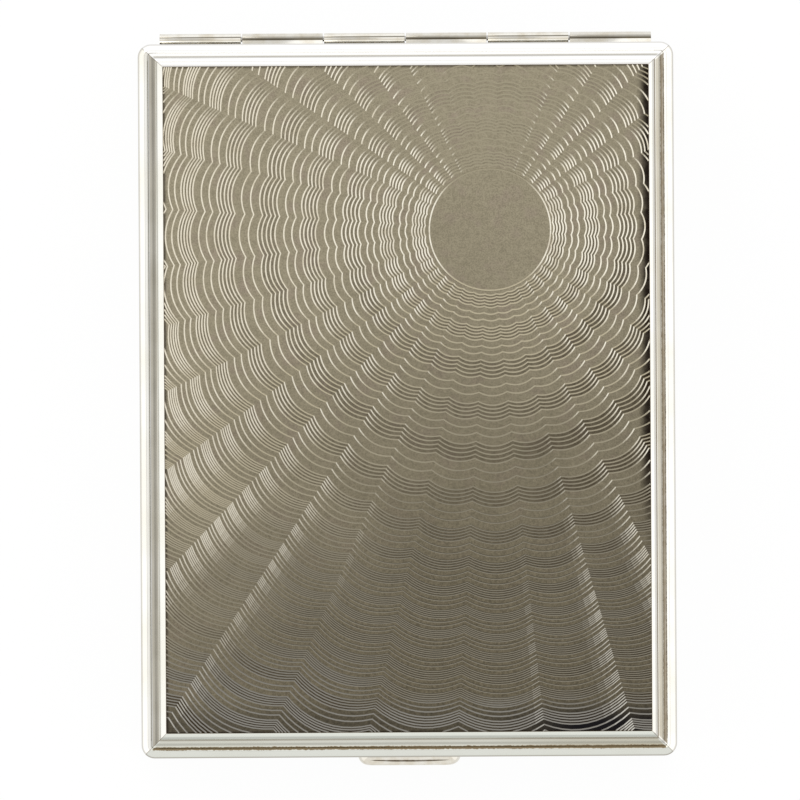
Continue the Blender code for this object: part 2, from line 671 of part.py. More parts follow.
def arm_pin(half, side, name):
    head_end = PIVOT_HEAD_X - PIVOT_HEAD_HEIGHT
    profile = [
        (side * ARM_BRACKET_X, PIVOT_RADIUS),
        (side * PIVOT_HEAD_X, PIVOT_RADIUS),
        (side * PIVOT_HEAD_X, PIVOT_HEAD_RADIUS),
        (side * head_end, PIVOT_HEAD_RADIUS),
    ]
    centre = (PIVOT_Y, level(half, PIVOT_HEIGHT))
    return turned(name, profile, ALONG_X, centre, ROUND_SIDES, spring_steel)


def arm_spring(half, side, name):
    """Torsion spring on the pin: one leg on the arm, the other on the bracket's foot."""
    lift = SEAT_HEIGHT + SEAT_GAP + COIL_WIRE_RADIUS - PIVOT_HEIGHT
    front_end = (-COIL_FRONT_LEG, lift + ARM_SHEET)
    back_end = (COIL_BACK_LEG, lift + ARM_BRACKET_SHEET)
    start = math.atan2(front_end[1], front_end[0]) + math.acos(COIL_RADIUS / math.hypot(*front_end))
    end = math.atan2(back_end[1], back_end[0]) - math.acos(COIL_RADIUS / math.hypot(*back_end))
    while end < start:
        end += 2 * math.pi
    end += 2 * math.pi * (COIL_TURNS - 1)
    steps = COIL_STEPS * COIL_TURNS
    path = [(*front_end, 0)]
    for step in range(steps + 1):
        share = step / steps
        angle = start + (end - start) * share
        path.append((COIL_RADIUS * math.cos(angle), COIL_RADIUS * math.sin(angle), share))
    path.append((*back_end, 1))
    curve = bpy.data.curves.new(name, "CURVE")
    curve.dimensions = "3D"
    curve.bevel_depth = COIL_WIRE_RADIUS
    curve.bevel_resolution = 1
    curve.use_fill_caps = True
    spline = curve.splines.new("POLY")
    spline.points.add(len(path[1:]))
    coil_length = COIL_TURNS * COIL_PITCH
    for point, (across, up, share) in zip(spline.points, path):
        x = side * (COIL_START_X - coil_length * share)
        point.co = (x, PIVOT_Y + across, level(half, PIVOT_HEIGHT + up), 1)
    curve.materials.append(spring_steel(name))
    item = bpy.data.objects.new(name, curve)
    bpy.context.scene.collection.objects.link(item)
    return item


def arm_fittings(half):
    items = []
    for side, word in ((-1, "left"), (1, "right")):
        items.append(arm_bracket(half, side, half + "_arm_bracket_" + word))
        items.append(arm_pin(half, side, half + "_arm_pin_" + word))
        items.append(arm_spring(half, side, half + "_arm_spring_" + word))
    return items


def pivot(name, place):
    """Empty on a joint's axis, which carries the pieces that move about it."""
    item = bpy.data.objects.new(name, None)
    item.location = place
    bpy.context.scene.collection.objects.link(item)
    return item


def carry(holder, items, place):
    """Hangs pieces on an empty without moving them."""
    for item in items:
        item.parent = holder
        item.matrix_parent_inverse = Matrix.Translation(place).inverted()


def build_base():
    base_frame = cut_catch_window(frame("base"))
    base_lining = cut_lining_notch(lining("base"))
    drill_lining(base_lining, CATCH_RIVET_X, CATCH_Z)
    panel("base")
    hinge_leaf("base")
    hinge_pin()
    catch_bracket()
    catch_spring()
    rivet("catch_rivet_left", -CATCH_RIVET_X, CATCH_Z, BRACKET_SHEET)
    rivet("catch_rivet_right", CATCH_RIVET_X, CATCH_Z, BRACKET_SHEET)
    arm_fittings("base")
    return base_frame


def build_lid():
    lid_lining = lining("lid")
    rivet_z = LEDGE_LOW + KEEPER_RIVET_LIFT
    drill_lining(lid_lining, KEEPER_RIVET_SPREAD / 2, rivet_z)
    items = [frame("lid"), panel("lid"), lid_lining, hinge_leaf("lid"), keeper()]
    items.append(rivet("keeper_rivet_left", -KEEPER_RIVET_SPREAD / 2, rivet_z, KEEPER_SHEET))
    items.append(rivet("keeper_rivet_right", KEEPER_RIVET_SPREAD / 2, rivet_z, KEEPER_SHEET))
    return items + arm_fittings("lid")


def build():
    for item in list(bpy.data.objects):
        bpy.data.objects.remove(item, do_unlink=True)
    build_base()
    catch_place = (0, front(-CATCH_REACH), CATCH_Z)
    carry(pivot("catch_axis", catch_place), [catch_button()], catch_place)
    base_arm_place = (0, PIVOT_Y, level("base", PIVOT_HEIGHT))
    carry(pivot("base_arm_axis", base_arm_place), [arm("base")], base_arm_place)
    lid_place = (0, HINGE_Y, HINGE_Z)
    lid_axis = pivot("lid_axis", lid_place)
    carry(lid_axis, build_lid(), lid_place)
    lid_arm_place = (0, PIVOT_Y, level("lid", PIVOT_HEIGHT))
    lid_arm_axis = pivot("lid_arm_axis", lid_arm_place)
    carry(lid_arm_axis, [arm("lid")], lid_arm_place)
    carry(lid_axis, [lid_arm_axis], lid_place)


build()
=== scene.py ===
import json
import math

import bmesh
import bpy
import numpy as np
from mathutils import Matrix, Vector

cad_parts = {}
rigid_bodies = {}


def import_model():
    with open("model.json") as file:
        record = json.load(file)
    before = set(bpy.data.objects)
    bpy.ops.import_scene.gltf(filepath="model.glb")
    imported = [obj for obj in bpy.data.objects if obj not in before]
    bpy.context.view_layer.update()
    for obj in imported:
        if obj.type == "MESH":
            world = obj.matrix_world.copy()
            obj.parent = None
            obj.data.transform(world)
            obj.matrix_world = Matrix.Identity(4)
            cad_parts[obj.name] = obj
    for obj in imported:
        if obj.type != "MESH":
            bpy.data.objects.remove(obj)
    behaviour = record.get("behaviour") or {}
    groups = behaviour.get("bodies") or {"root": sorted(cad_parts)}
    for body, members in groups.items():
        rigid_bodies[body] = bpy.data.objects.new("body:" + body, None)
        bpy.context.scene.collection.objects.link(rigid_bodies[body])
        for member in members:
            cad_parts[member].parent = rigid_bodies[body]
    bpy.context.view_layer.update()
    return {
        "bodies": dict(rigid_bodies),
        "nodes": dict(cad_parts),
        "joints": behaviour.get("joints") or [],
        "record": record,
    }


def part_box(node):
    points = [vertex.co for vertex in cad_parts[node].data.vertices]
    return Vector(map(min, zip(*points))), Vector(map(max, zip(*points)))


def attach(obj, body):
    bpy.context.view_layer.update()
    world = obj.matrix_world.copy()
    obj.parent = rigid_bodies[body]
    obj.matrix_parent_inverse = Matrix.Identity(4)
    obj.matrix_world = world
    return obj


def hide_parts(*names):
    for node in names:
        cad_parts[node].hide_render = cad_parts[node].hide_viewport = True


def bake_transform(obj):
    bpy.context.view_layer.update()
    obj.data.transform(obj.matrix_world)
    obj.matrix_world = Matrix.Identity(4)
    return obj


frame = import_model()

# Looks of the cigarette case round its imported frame. Metres and world coordinates: the case is
# closed and lies on its back, +Z up out of the lid, the hinge at +Y and the catch at -Y.

mm = 0.001
print("frame loaded:", len(frame["nodes"]), "nodes")

lidLow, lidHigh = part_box("lid_frame")
joints = {joint["name"]: joint for joint in frame["joints"]}
case = {
    "width": lidHigh.x - lidLow.x,
    "length": 2 * abs(lidLow.y),
    "thickness": lidHigh.z,
    "halfHeight": lidHigh.z - lidLow.z,
    "cornerRadius": 1.85 * mm,
    "tightRadius": 0.15 * mm,  # what is left of a corner's radius inside the mitred mouldings
    "cornerSteps": 9,
    "wall": 0.6 * mm,
    "seat": 0.1 * mm,  # between pieces that lie on each other
    "overrun": 1.0 * mm,  # how far a cutter passes what it cuts
}


# World height of a place measured inwards from the outer face of the base or of the lid.
def level(half, height):
    return case["thickness"] - height if half == "lid" else height


# World Y of a place measured inwards from the front face.
def front(inward):
    return inward - case["length"] / 2


# Points whose three values follow the named world axes.
def placed(axes, across, up, along):
    values = dict(zip(axes, np.broadcast_arrays(across, up, along)))
    return np.stack([values["X"], values["Y"], values["Z"]], -1)


# The quads of a grid of points: each joins a point to the next one in its row and to the same two
# in the next row. A closed direction also joins its last points to its first.
def gridFaces(rows, columns, closeRows=False, closeColumns=False):
    rowStart = np.arange(rows if closeRows else rows - 1)
    columnStart = np.arange(columns if closeColumns else columns - 1)
    row, column = np.meshgrid(rowStart, columnStart, indexing="ij")
    nextRow = (row + 1) % rows
    nextColumn = (column + 1) % columns
    corners = (row * columns + column, row * columns + nextColumn)
    corners += (nextRow * columns + nextColumn, nextRow * columns + column)
    return np.stack(corners, -1).reshape(-1, 4)


def addToScene(name, data):
    item = bpy.data.objects.new(name, data)
    bpy.context.scene.collection.objects.link(item)
    return item


# Rings of equally many points joined one after the other, with a flat cap on the first and last,
# or with the last ring joined to the first, and all faces turned outwards. Each named value, a
# number for each ring, becomes an attribute of the points.
def loft(name, rings, values=None, closed=False):
    rows, columns = rings.shape[:2]
    faces = gridFaces(rows, columns, closed, True).tolist()
    if not closed:
        faces += [list(range(columns)), list(range((rows - 1) * columns, rows * columns))]
    mesh = bpy.data.meshes.new(name)
    mesh.from_pydata(rings.reshape(-1, 3).tolist(), [], faces)
    for key, value in (values or {}).items():
        layer = mesh.attributes.new(key, "FLOAT", "POINT")
        layer.data.foreach_set("value", np.repeat(value, columns).astype(np.float32))
    work = bmesh.new()
    work.from_mesh(mesh)
    bmesh.ops.recalc_face_normals(work, faces=work.faces)
    work.to_mesh(mesh)
    work.free()
    return addToScene(name, mesh)


# A flat outline carried along the third of the axes.
def prism(name, outline, axes, low, high):
    ends = np.array([low, high])[:, None]
    return loft(name, placed(axes, outline[None, :, 0], outline[None, :, 1], ends))


def block(name, low, high):
    outline = np.array([(low[0], low[1]), (high[0], low[1]), (high[0], high[1]), (low[0], high[1])])
    return prism(name, outline, "XYZ", low[2], high[2])


# A profile of places along an axis and radii, turned round it: each radius times the cosine and
# sine of the angle.
def turned(name, profile, axes, centre, sides=48):
    angle = np.arange(sides) * 2 * np.pi / sides
    profile = np.array(profile)
    across = centre[0] + profile[:, 1:] * np.cos(angle)
    up = centre[1] + profile[:, 1:] * np.sin(angle)
    return loft(name, placed(axes, across, up, profile[:, :1]))


# A round wire along a path. Each ring lies across the path, turned to the coil's axis.
def wire(name, path, radius, axis, sides=12):
    along = np.gradient(path, axis=0)
    along /= np.linalg.norm(along, axis=1)[:, None]
    outwards = np.cross(along, axis)
    outwards /= np.linalg.norm(outwards, axis=1)[:, None]
    sideways = np.cross(along, outwards)
    angle = (np.arange(sides) * 2 * np.pi / sides)[None, :, None]
    ring = np.cos(angle) * outwards[:, None] + np.sin(angle) * sideways[:, None]
    return loft(name, path[:, None] + radius * ring)


# A rectangle about the middle whose corners are quarter circles. Columns of sizes give a row of
# points for each.
def roundedRectangle(halfAcross, halfUp, radius, steps=8):
    quarter = np.repeat(np.arange(4), steps + 1)
    angle = (quarter + np.tile(np.linspace(0, 1, steps + 1), 4)) * np.pi / 2
    across = np.array([1, -1, -1, 1])[quarter] * (halfAcross - radius) + radius * np.cos(angle)
    up = np.array([1, 1, -1, -1])[quarter] * (halfUp - radius) + radius * np.sin(angle)
    return np.stack([across, up], -1)


# An outline whose corners are eased: each leaves its side a little before the corner and joins the
# next side as far after it, on the curve (1-t)(1-t) a + 2t(1-t) corner + t t b.
def eased(corners, ease, steps=6):
    corners = np.array(corners)
    ease = np.broadcast_to(ease, len(corners))[:, None]
    before = np.roll(corners, 1, 0) - corners
    after = np.roll(corners, -1, 0) - corners
    start = corners + before / np.linalg.norm(before, axis=1)[:, None] * ease
    end = corners + after / np.linalg.norm(after, axis=1)[:, None] * ease
    t = np.linspace(0, 1, steps + 1)[None, :, None]
    curve = (1 - t) ** 2 * start[:, None] + 2 * t * (1 - t) * corners[:, None] + t**2 * end[:, None]
    return curve.reshape(-1, 2)


# Loops round the case, one for each inset and height: a rectangle set in by the inset, whose
# corners are quarter circles of the case's corner radius less that inset.
def caseLoops(half, inset, height, backInset):
    inset, height, backInset = inset[:, None], height[:, None], backInset[:, None]
    near, far = front(inset), case["length"] / 2 - backInset
    radius = np.maximum(case["cornerRadius"] - inset, case["tightRadius"])
    sizes = case["width"] / 2 - inset, (far - near) / 2, radius
    loops = roundedRectangle(*sizes, case["cornerSteps"])
    return placed("XYZ", loops[..., 0], (near + far) / 2 + loops[..., 1], level(half, height))


# Puts the modifiers' result into the piece's own mesh.
def settle(piece):
    bpy.context.view_layer.update()
    graph = bpy.context.evaluated_depsgraph_get()
    result = bpy.data.meshes.new_from_object(piece.evaluated_get(graph))
    piece.modifiers.clear()
    plain = piece.data
    piece.data = result
    bpy.data.meshes.remove(plain)
    result.name = piece.name
    return piece


def combine(piece, other, operation="DIFFERENCE"):
    modifier = piece.modifiers.new("combine", "BOOLEAN")
    modifier.operation = operation
    modifier.solver = "EXACT"
    modifier.object = other
    settle(piece)
    bpy.data.objects.remove(other, do_unlink=True)
    return piece


# Cuts an outline right through what lies between two places along the third of the axes.
def pierce(piece, outline, axes, near, far):
    combine(piece, prism("cutter", outline, axes, near - case["overrun"], far + case["overrun"]))


# Rounds the sharp edges. Where two materials are given, the rounded edges take the second.
def easeEdges(piece, width, materials=()):
    for material in materials:
        piece.data.materials.append(material)
    modifier = piece.modifiers.new("eased edges", "BEVEL")
    modifier.material = len(materials) - 1
    modifier.width = width
    modifier.segments = 2
    modifier.limit_method = "ANGLE"
    modifier.angle_limit = math.radians(50)
    return settle(piece)


# Hands a finished piece over: its materials, its body, and the solid that it stands for. A spring is
# given two bodies and the points between which it would pass from the first to the second; these are
# not used, and the piece stays in place on no body.
def finish(piece, materials, body, node, sharp=35):
    if not piece.data.materials:
        for material in materials:
            piece.data.materials.append(material)
    piece.data.shade_smooth()
    piece.data.set_sharp_from_angle(angle=math.radians(sharp))
    if isinstance(body, str):
        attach(piece, body)
    else:
        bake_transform(piece)
    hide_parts(node)
    return piece


# One socket of a shader. Sums and products of these add Math nodes, and add() makes any other node.
class Socket:
    def __init__(self, tree, socket=None):
        self.tree = tree
        self.socket = socket

    def add(self, kind, settings=None, inputs=None, output=0):
        made = self.tree.nodes.new(kind)
        for key, value in (settings or {}).items():
            setattr(made, key, value)
        for key, value in (inputs or {}).items():
            if isinstance(value, Socket):
                self.tree.links.new(value.socket, made.inputs[key])
            else:
                made.inputs[key].default_value = value
        return Socket(self.tree, made.outputs[output]) if made.outputs else None

    def maths(self, operation, *values):
        return self.add("ShaderNodeMath", {"operation": operation}, dict(enumerate(values)))

    def __add__(self, other):
        return self.maths("ADD", self, other)

    def __radd__(self, other):
        return self.maths("ADD", other, self)

    def __sub__(self, other):
        return self.maths("SUBTRACT", self, other)

    def __rsub__(self, other):
        return self.maths("SUBTRACT", other, self)

    def __mul__(self, other):
        return self.maths("MULTIPLY", self, other)

    def __rmul__(self, other):
        return self.maths("MULTIPLY", other, self)

    def __truediv__(self, other):
        return self.maths("DIVIDE", self, other)

    def __pow__(self, other):
        return self.maths("POWER", self, other)

    def __abs__(self):
        return self.maths("ABSOLUTE", self)

    def highest(self, other):
        return self.maths("MAXIMUM", self, other)

    def part(self, axis):  # one of a vector's three values
        return self.add("ShaderNodeSeparateXYZ", {}, {"Vector": self}, axis)

    def step(self, low, high):  # 0 at low, 1 at high, smooth between; low may be the higher one
        inputs = {"Value": self, "From Min": low, "From Max": high}
        return self.add("ShaderNodeMapRange", {"interpolation_type": "SMOOTHSTEP"}, inputs)

    def mix(self, first, second):  # the first colour where this is 0, the second where it is 1
        inputs = {0: self, 6: first, 7: second}
        return self.add("ShaderNodeMix", {"data_type": "RGBA"}, inputs, 2)

    def noise(self, scale, detail=2, rough=0.5):
        inputs = {"Vector": self, "Scale": scale, "Detail": detail, "Roughness": rough}
        return self.add("ShaderNodeTexNoise", {}, inputs)

    def stretch(self, scale, turn=(0, 0, 0)):
        inputs = {"Vector": self, "Rotation": [math.radians(angle) for angle in turn], "Scale": scale}
        return self.add("ShaderNodeMapping", {}, inputs)

    def bump(self, distance, strength=1, normal=None):
        inputs = {"Height": self, "Distance": distance, "Strength": strength}
        if normal is not None:
            inputs["Normal"] = normal
        return self.add("ShaderNodeBump", {}, inputs)


# A metal whose steady values are set on the shader and whose varying ones are linked to it.
def metal(name, look):
    material = bpy.data.materials.new(name)
    material.use_nodes = True
    shader = material.node_tree.nodes["Principled BSDF"]
    shader.inputs["Metallic"].default_value = 1
    start = Socket(material.node_tree)
    place = start.add("ShaderNodeTexCoord", output="Object")
    for key, value in look(start, place).items():
        material.node_tree.links.new(value.socket, shader.inputs[key])
    return material


# Fine hair scratches: stretched noise, cut to a thin line where it passes its middle value.
def hairlines(place, turn, length, width, thin):
    streaks = place.stretch((1 / length, 1 / width, 1 / width), turn).noise(1, 1)
    return abs(streaks - 0.5).step(thin, 0)


# 1 between the two values and 0 outside them, soft at both ends
def stripe(value, low, high, soft):
    return value.step(low - soft, low + soft) * value.step(high + soft, high - soft)


# A value that the mesh carries
def carried(start, name):
    return start.add("ShaderNodeAttribute", {"attribute_name": name}, output="Fac")


def colour(red, green, blue):
    return (red, green, blue, 1)


nickel = {
    "bright": colour(0.85, 0.835, 0.79),
    "warm": colour(0.79, 0.765, 0.69),
    # the dark joint at each mitre, and the painted shade and dark reflections on the rim
    "grime": colour(0.17, 0.125, 0.075),
    # painted shade on the front bar and the left bar's inner bead
    "dull": colour(0.60, 0.615, 0.56),
    # painted light on the back bar
    "clean": colour(0.97, 0.965, 0.95),
    "tarnish": colour(0.25, 0.25, 0.24),
    "khaki": colour(0.29, 0.243, 0.14),
    "stain": colour(0.19, 0.145, 0.085),
    "roughness": 0.07,
    "smudge": 0.06,
    "waver": 0.008 * mm,
    "mitre": 0.09 * mm,  # width of the joint line at each corner
}

# The stripes along the rim's bars: the two insets that each lies between and how soft its sides are,
# in millimetres, and how strong it is. The front bar's also follow a strength that varies along it.
tarnished = {"right": (1.6, 2.5, 0.1, 0.58), "back": (1.82, 2.06, 0.1, 0.55), "fore": (1.1, 2.45, 0.08, 1)}
# These stripes are dark lines of painted shade on the beads' steep sides.
paintedShadeLines = {"left": (1.58, 1.64, 0.05, 0.3), "right": (2.58, 2.72, 0.06, 0.8), "fore": (2.42, 2.53, 0.05, 1)}
browned = {"right": (1.34, 1.86, 0.07, 0.76), "fore": (1.1, 1.56, 0.08, 1.12)}


def barStripes(stripes, inset, bars, foreStrength=1):
    total = 0
    for bar, (low, high, soft, strength) in stripes.items():
        if bar == "fore":
            strength = strength * foreStrength
        total = total + bars[bar] * stripe(inset, low, high, soft) * strength
    return total


# How far a place lies past the mitre: less than nothing along the long sides, more along the ends.
def pastMitre(place):
    y = place.part("Y")
    fromEnd = (case["length"] / 2 - abs(y)) * (1 + y.step(0, mm) * (1 / rim["backShare"] - 1))
    return case["width"] / 2 - abs(place.part("X")) - fromEnd


def scuffs(place):
    scratch = hairlines(place, (0, 0, 24), 0.009, 0.0004, 0.012)
    scratch = scratch + hairlines(place, (12, 5, -63), 0.012, 0.0005, 0.01)
    return scratch * place.noise(60, 2).step(0.4, 0.75)


# Polished nickel, whose stripes of tarnish follow the moulding and differ from bar to bar. The left
# bar's bead falls to grey with painted shade and its hollow is brown-grey, the right and the front
# bar's hollows are beige beside a ragged brown line, the front bar is painted greyer as shade and the
# back bar whiter as if lit. Dark lines of painted shade run along the beads' steep sides and the lip's
# edge, and a dark reflection is painted along the outer bead's edge.
def polishedNickel(start, place):
    inset, top, shoulder = [carried(start, name) for name in ("inset", "top", "shoulder")]
    past = pastMitre(place)
    side = past.step(0.02 * mm, 0)
    rightHalf = place.part("X").step(-mm, mm)
    backHalf = place.part("Y").step(-mm, mm)
    left, right = side * (1 - rightHalf), side * rightHalf
    back, fore = (1 - side) * backHalf, (1 - side) * (1 - backHalf)
    whole = left + (1 - left) * abs(past).step(0.1 * mm, 0.45 * mm)
    corner = place.part("X").step(5 * mm, 32 * mm)
    bars = {"left": left, "right": right, "back": back, "fore": fore}
    tarnish = barStripes(tarnished, inset, bars, 0.22 + corner * (0.26 + 0.4 * inset.step(2, 1.1)))
    # painted shade on the left bar where its outer bead falls to grey, and tarnish in its hollow
    tarnish = tarnish + left * inset.step(0.6, 1.9) * inset.step(2.6, 2.42) * 0.85
    # painted shade: dark lines along the beads' steep sides and at the lip's free edge, wider on the back
    # bar
    line = barStripes(paintedShadeLines, inset, bars, 0.75 + 0.2 * corner)
    line = line + inset.step(3.4, 3.48) + back * inset.step(3, 3.4) * 0.25
    ragged = inset + (place.noise(3000, 3, 0.6) - 0.5) * 0.34 + (place.noise(600, 2) - 0.5) * 0.16
    brown = barStripes(browned, ragged, bars) * whole * (0.7 + 0.5 * place.noise(900, 4, 0.6))
    # painted shade: the front bar and the left bar's inner bead are greyer
    dull = fore * (0.75 + 0.25 * inset.step(2.5, 2.7)) + left * inset.step(2.4, 2.6) * 0.25
    khaki = 1 - left * (1 - 0.45 * inset.step(1.5, 1.7))
    smudge = place.noise(120, 3, 0.55).step(0.35, 0.75)
    cloud = 0.8 + 0.4 * place.noise(160, 3)
    tone = smudge.mix(nickel["bright"], nickel["warm"])
    # painted light: the back bar is whiter, as if lit
    tone = (back * 0.85).mix(dull.mix(tone, nickel["dull"]), nickel["clean"])
    tone = (tarnish * cloud * whole).mix(tone, khaki.mix(nickel["tarnish"], nickel["khaki"]))
    tone = brown.step(0.05, 1).mix(tone, nickel["stain"])
    joint = abs(past).step(nickel["mitre"], 0) * 0.8
    # the dark colour: painted shade on the lines, a painted dark reflection on the outer bead's edge, and
    # the dark joint at each mitre
    dirt = (line * top).highest(joint).highest(shoulder * (0.28 + 0.25 * fore))
    scratch = scuffs(place)
    swell = place.noise(260, 2).bump(nickel["waver"])
    rough = nickel["roughness"] + smudge * nickel["smudge"] + scratch * 0.06
    return {
        "Base Color": dirt.mix(tone, nickel["grime"]),
        "Roughness": rough + tarnish * 0.12 + line * top * 0.3,
        "Normal": (scratch * 0.7 + place.noise(5000, 2) * 0.3).bump(0.001 * mm, 1, swell),
    }


# The moulded rim's section: a side wall, an outer bead, a sunk groove and an inner bead whose free
# edge laps the plate.
rim = {
    "outerBead": 1.45 * mm,
    "crest": 0.95 * mm,  # from the edge to the outer bead's crest
    "groove": 1.1 * mm,
    "innerBead": 0.95 * mm,
    "innerRise": 0.14 * mm,  # across the inner bead's steep side
    "edgeDrop": 0.8 * mm,
    "grooveDepth": 0.4 * mm,
    "grooveSag": 0.09 * mm,
    "innerSetBack": 0.05 * mm,
    "sheet": 0.4 * mm,
    "lipDrop": 0.24 * mm,
    "tuck": 0.8 * mm,
    "partingRound": 0.09 * mm,
    "roundness": 1.55,  # 2 is a true ellipse, less is more like a roof
    "steps": 14,
    "backShare": 0.909,  # of the back bar's width in the others'
    "shoulder": 0.12 * mm,  # of the outer bead's edge on which a dark reflection is painted
    "fade": 0.12 * mm,  # of that painted reflection down the wall
}


# Insets and heights round the section, and what the material reads at each point: the inset in
# millimetres, whether it is on the outside, and the outer bead's edge, on which a dark reflection is
# painted. The beads are quarters of (across/a)^n + (up/b)^n = 1.
def rimSection():
    power = 2 / rim["roundness"]
    turn = np.linspace(0, np.pi / 2, rim["steps"] + 1)
    rise, run = np.sin(turn) ** power, np.cos(turn) ** power
    footAcross = np.append(rim["partingRound"] * (1 - np.sin(turn[::3])), 0)
    footUp = rim["partingRound"] * (1 - np.cos(turn[::3]))
    footUp = np.append(footUp, case["halfHeight"] - rim["edgeDrop"] - rim["fade"])
    grooveEnd = rim["outerBead"] + rim["groove"]
    width = grooveEnd + rim["innerBead"]
    innerCrest = grooveEnd + rim["innerRise"]
    share = np.linspace(0, 1, 10)[1:-1]
    lip = rim["innerSetBack"] + rim["sheet"]
    under, sag = rim["grooveDepth"] + rim["sheet"], rim["grooveSag"]
    bump = rim["grooveDepth"] - rim["innerSetBack"]
    parts = [
        (footAcross, case["halfHeight"] - footUp),
        (rim["crest"] * (1 - run), rim["edgeDrop"] * (1 - rise)),
        (rim["crest"] + (rim["outerBead"] - rim["crest"]) * rise, rim["grooveDepth"] * (1 - run)),
        (rim["outerBead"] + rim["groove"] * share, rim["grooveDepth"] + sag * np.sin(np.pi * share)),
        (innerCrest - rim["innerRise"] * run, rim["grooveDepth"] - bump * rise),
        (innerCrest + (width - innerCrest) * rise[1:], rim["innerSetBack"] + rim["lipDrop"] * (1 - run[1:])),
        ([width, width - rim["tuck"], width - rim["tuck"]], [lip, lip, under]),
        ([case["wall"], case["wall"]], [under, case["halfHeight"]]),
    ]
    inset = np.concatenate([part[0] for part in parts])
    height = np.concatenate([part[1] for part in parts])
    top = height < rim["grooveDepth"] + 2 * rim["grooveSag"]
    edge = (inset < rim["shoulder"]) & (height < rim["edgeDrop"] + rim["fade"] / 2)
    return inset, height, {"inset": inset / mm * top, "top": top * 1.0, "shoulder": edge * 1.0}


hinge = {
    "y": joints["lid_hinge"]["pos_m"][1],
    "z": joints["lid_hinge"]["pos_m"][2],
    "knuckles": 6,
    "knuckle": 11.5 * mm,
    "gap": 0.2 * mm,
    "pin": 0.35 * mm,
    "fit": 0.1 * mm,
    "sheet": 0.35 * mm,
    "reach": 4.5 * mm,  # of the strip down inside the wall
    "bend": 0.1 * mm,
    "stub": 0.1 * mm,
    "inset": 0.7 * mm,  # of the strip's outer face behind the wall's
    "slit": 0.15 * mm,
    "clear": 0.15 * mm,  # between the knuckles and the notch in the wall
    "edge": 0.05 * mm,
    "dome": 0.12 * mm,  # at the pin's ends
    "steps": 56,
}
hinge["roll"] = hinge["pin"] + hinge["fit"] + hinge["sheet"]  # the knuckles' outer radius

button = {
    "z": 7.6 * mm,
    "width": 14.3 * mm,
    "height": 3.4 * mm,
    "corner": 1.3 * mm,
    "tipWidth": 11.2 * mm,
    "tipHeight": 2.2 * mm,
    "reach": 1.3 * mm,
    "neck": 0.05 * mm,  # of full width in front of the wall
    "dirt": (0.68 * mm, 0.11 * mm),  # its place in front of the wall at the middle, and half its width
    "dirtHalf": 5.9 * mm,
    "play": 0.2 * mm,
    "hollow": 0.35 * mm,
    "lip": 0.22 * mm,
    "innermost": 0.05 * mm,  # half the height of the hollow's last ring
    "leastCorner": 0.03 * mm,
    "flange": (8.35 * mm, 2.4 * mm),
    "flangeEnds": (0.7 * mm, 1.2 * mm),
    "hookWidth": 6 * mm,
    # mm, inwards and up
    "hook": [(0.95, 6.7), (3.1, 6.7), (3.1, 12.35), (2.6, 12.35), (2.15, 11.86)]
    + [(2.15, 11.65), (2.6, 11.65), (2.6, 8.5), (0.95, 8.5)],
    "ease": 0.08 * mm,
    "steps": 10,
    "clean": colour(0.74, 0.715, 0.65),
    "rubbed": colour(0.62, 0.57, 0.47),
    "brown": colour(0.075, 0.05, 0.028),
}


def makeRim(half, material):
    inset, height, values = rimSection()
    loops = caseLoops(half, inset, height, inset * rim["backShare"])
    piece = loft(half + "_rim", loops, values, closed=True)
    length = hinge["knuckles"] * hinge["knuckle"] / 2 + hinge["gap"]
    notch = hinge["z"] - hinge["roll"] - hinge["clear"]
    heights = sorted((level(half, notch), level(half, case["halfHeight"] + case["overrun"])))
    back = case["length"] / 2
    low = (-length, back - case["wall"] - case["overrun"], heights[0])
    combine(piece, block("notch", low, (length, back + case["overrun"], heights[1])))
    if half == "base":
        play = button["play"]
        sizes = (button["width"] / 2 + play, button["height"] / 2 + play, button["corner"] + play)
        outline = roundedRectangle(*sizes) + (0, button["z"])
        pierce(piece, outline, "XZY", front(0), front(case["wall"]))
    return finish(piece, [material], half, half + "_frame")


rimMaterial = metal("polished rim", polishedNickel)
for half in ("base", "lid"):
    makeRim(half, rimMaterial)
print("rims done")


# The engine-turned plate. Its lines are rosettes round the cartouche: the radius is the line's own
# less a wave that is the square of u, where u runs from -1 to 1 across each scallop, so that the
# cusps point inwards. Each line is a cut of V section.
plate = {
    "centre": (11.7 * mm, 23.8 * mm),
    "face": 0.55 * mm,
    "back": 1.0 * mm,
    "inset": 2.8 * mm,
    "disc": 8.6 * mm,
    "discRise": 0.1 * mm,
    "discEdge": 0.03 * mm,
    "scallops": 36,
    "columns": 10,  # of the grid in each scallop
    "cusp": 6.1,  # degrees from +X to a cusp
    "waveShare": 0.0222,
    "waveDrop": 0.05 * mm,
    "off": -0.13 * mm,  # along X, from the cartouche's centre to the lines' own
    "stretch": 1.0105,  # of the lines lengthways
    # mm, where each band of lines starts
    "bands": (9.1, 13.65, 18.4, 24.35, 30.0, 36.4, 41.9, 46.3, 50.0, 53.3)
    + (56.1, 58.8, 61.8, 65.0, 68.2, 72.2, 75.8, 79.4, 84.0),
    "lineShares": (0, 0.093, 0.187, 0.285, 0.378, 0.58, 0.78),  # places of a band's seven lines
    "valleys": (1, 1, 1, 1, 0, 0, 0),  # whether the land after each is a valley darkened with painted shade
    "cutWidth": 0.2 * mm,
    "cutDepth": 0.022 * mm,
    "past": 2 * mm,  # of the land beyond the last line
    # the direction in which the painted glint on the cuts is brightest leans to the right, from nothing
    # at the case's middle to this many degrees this far towards the foot
    "lean": (13, 36 * mm),
}


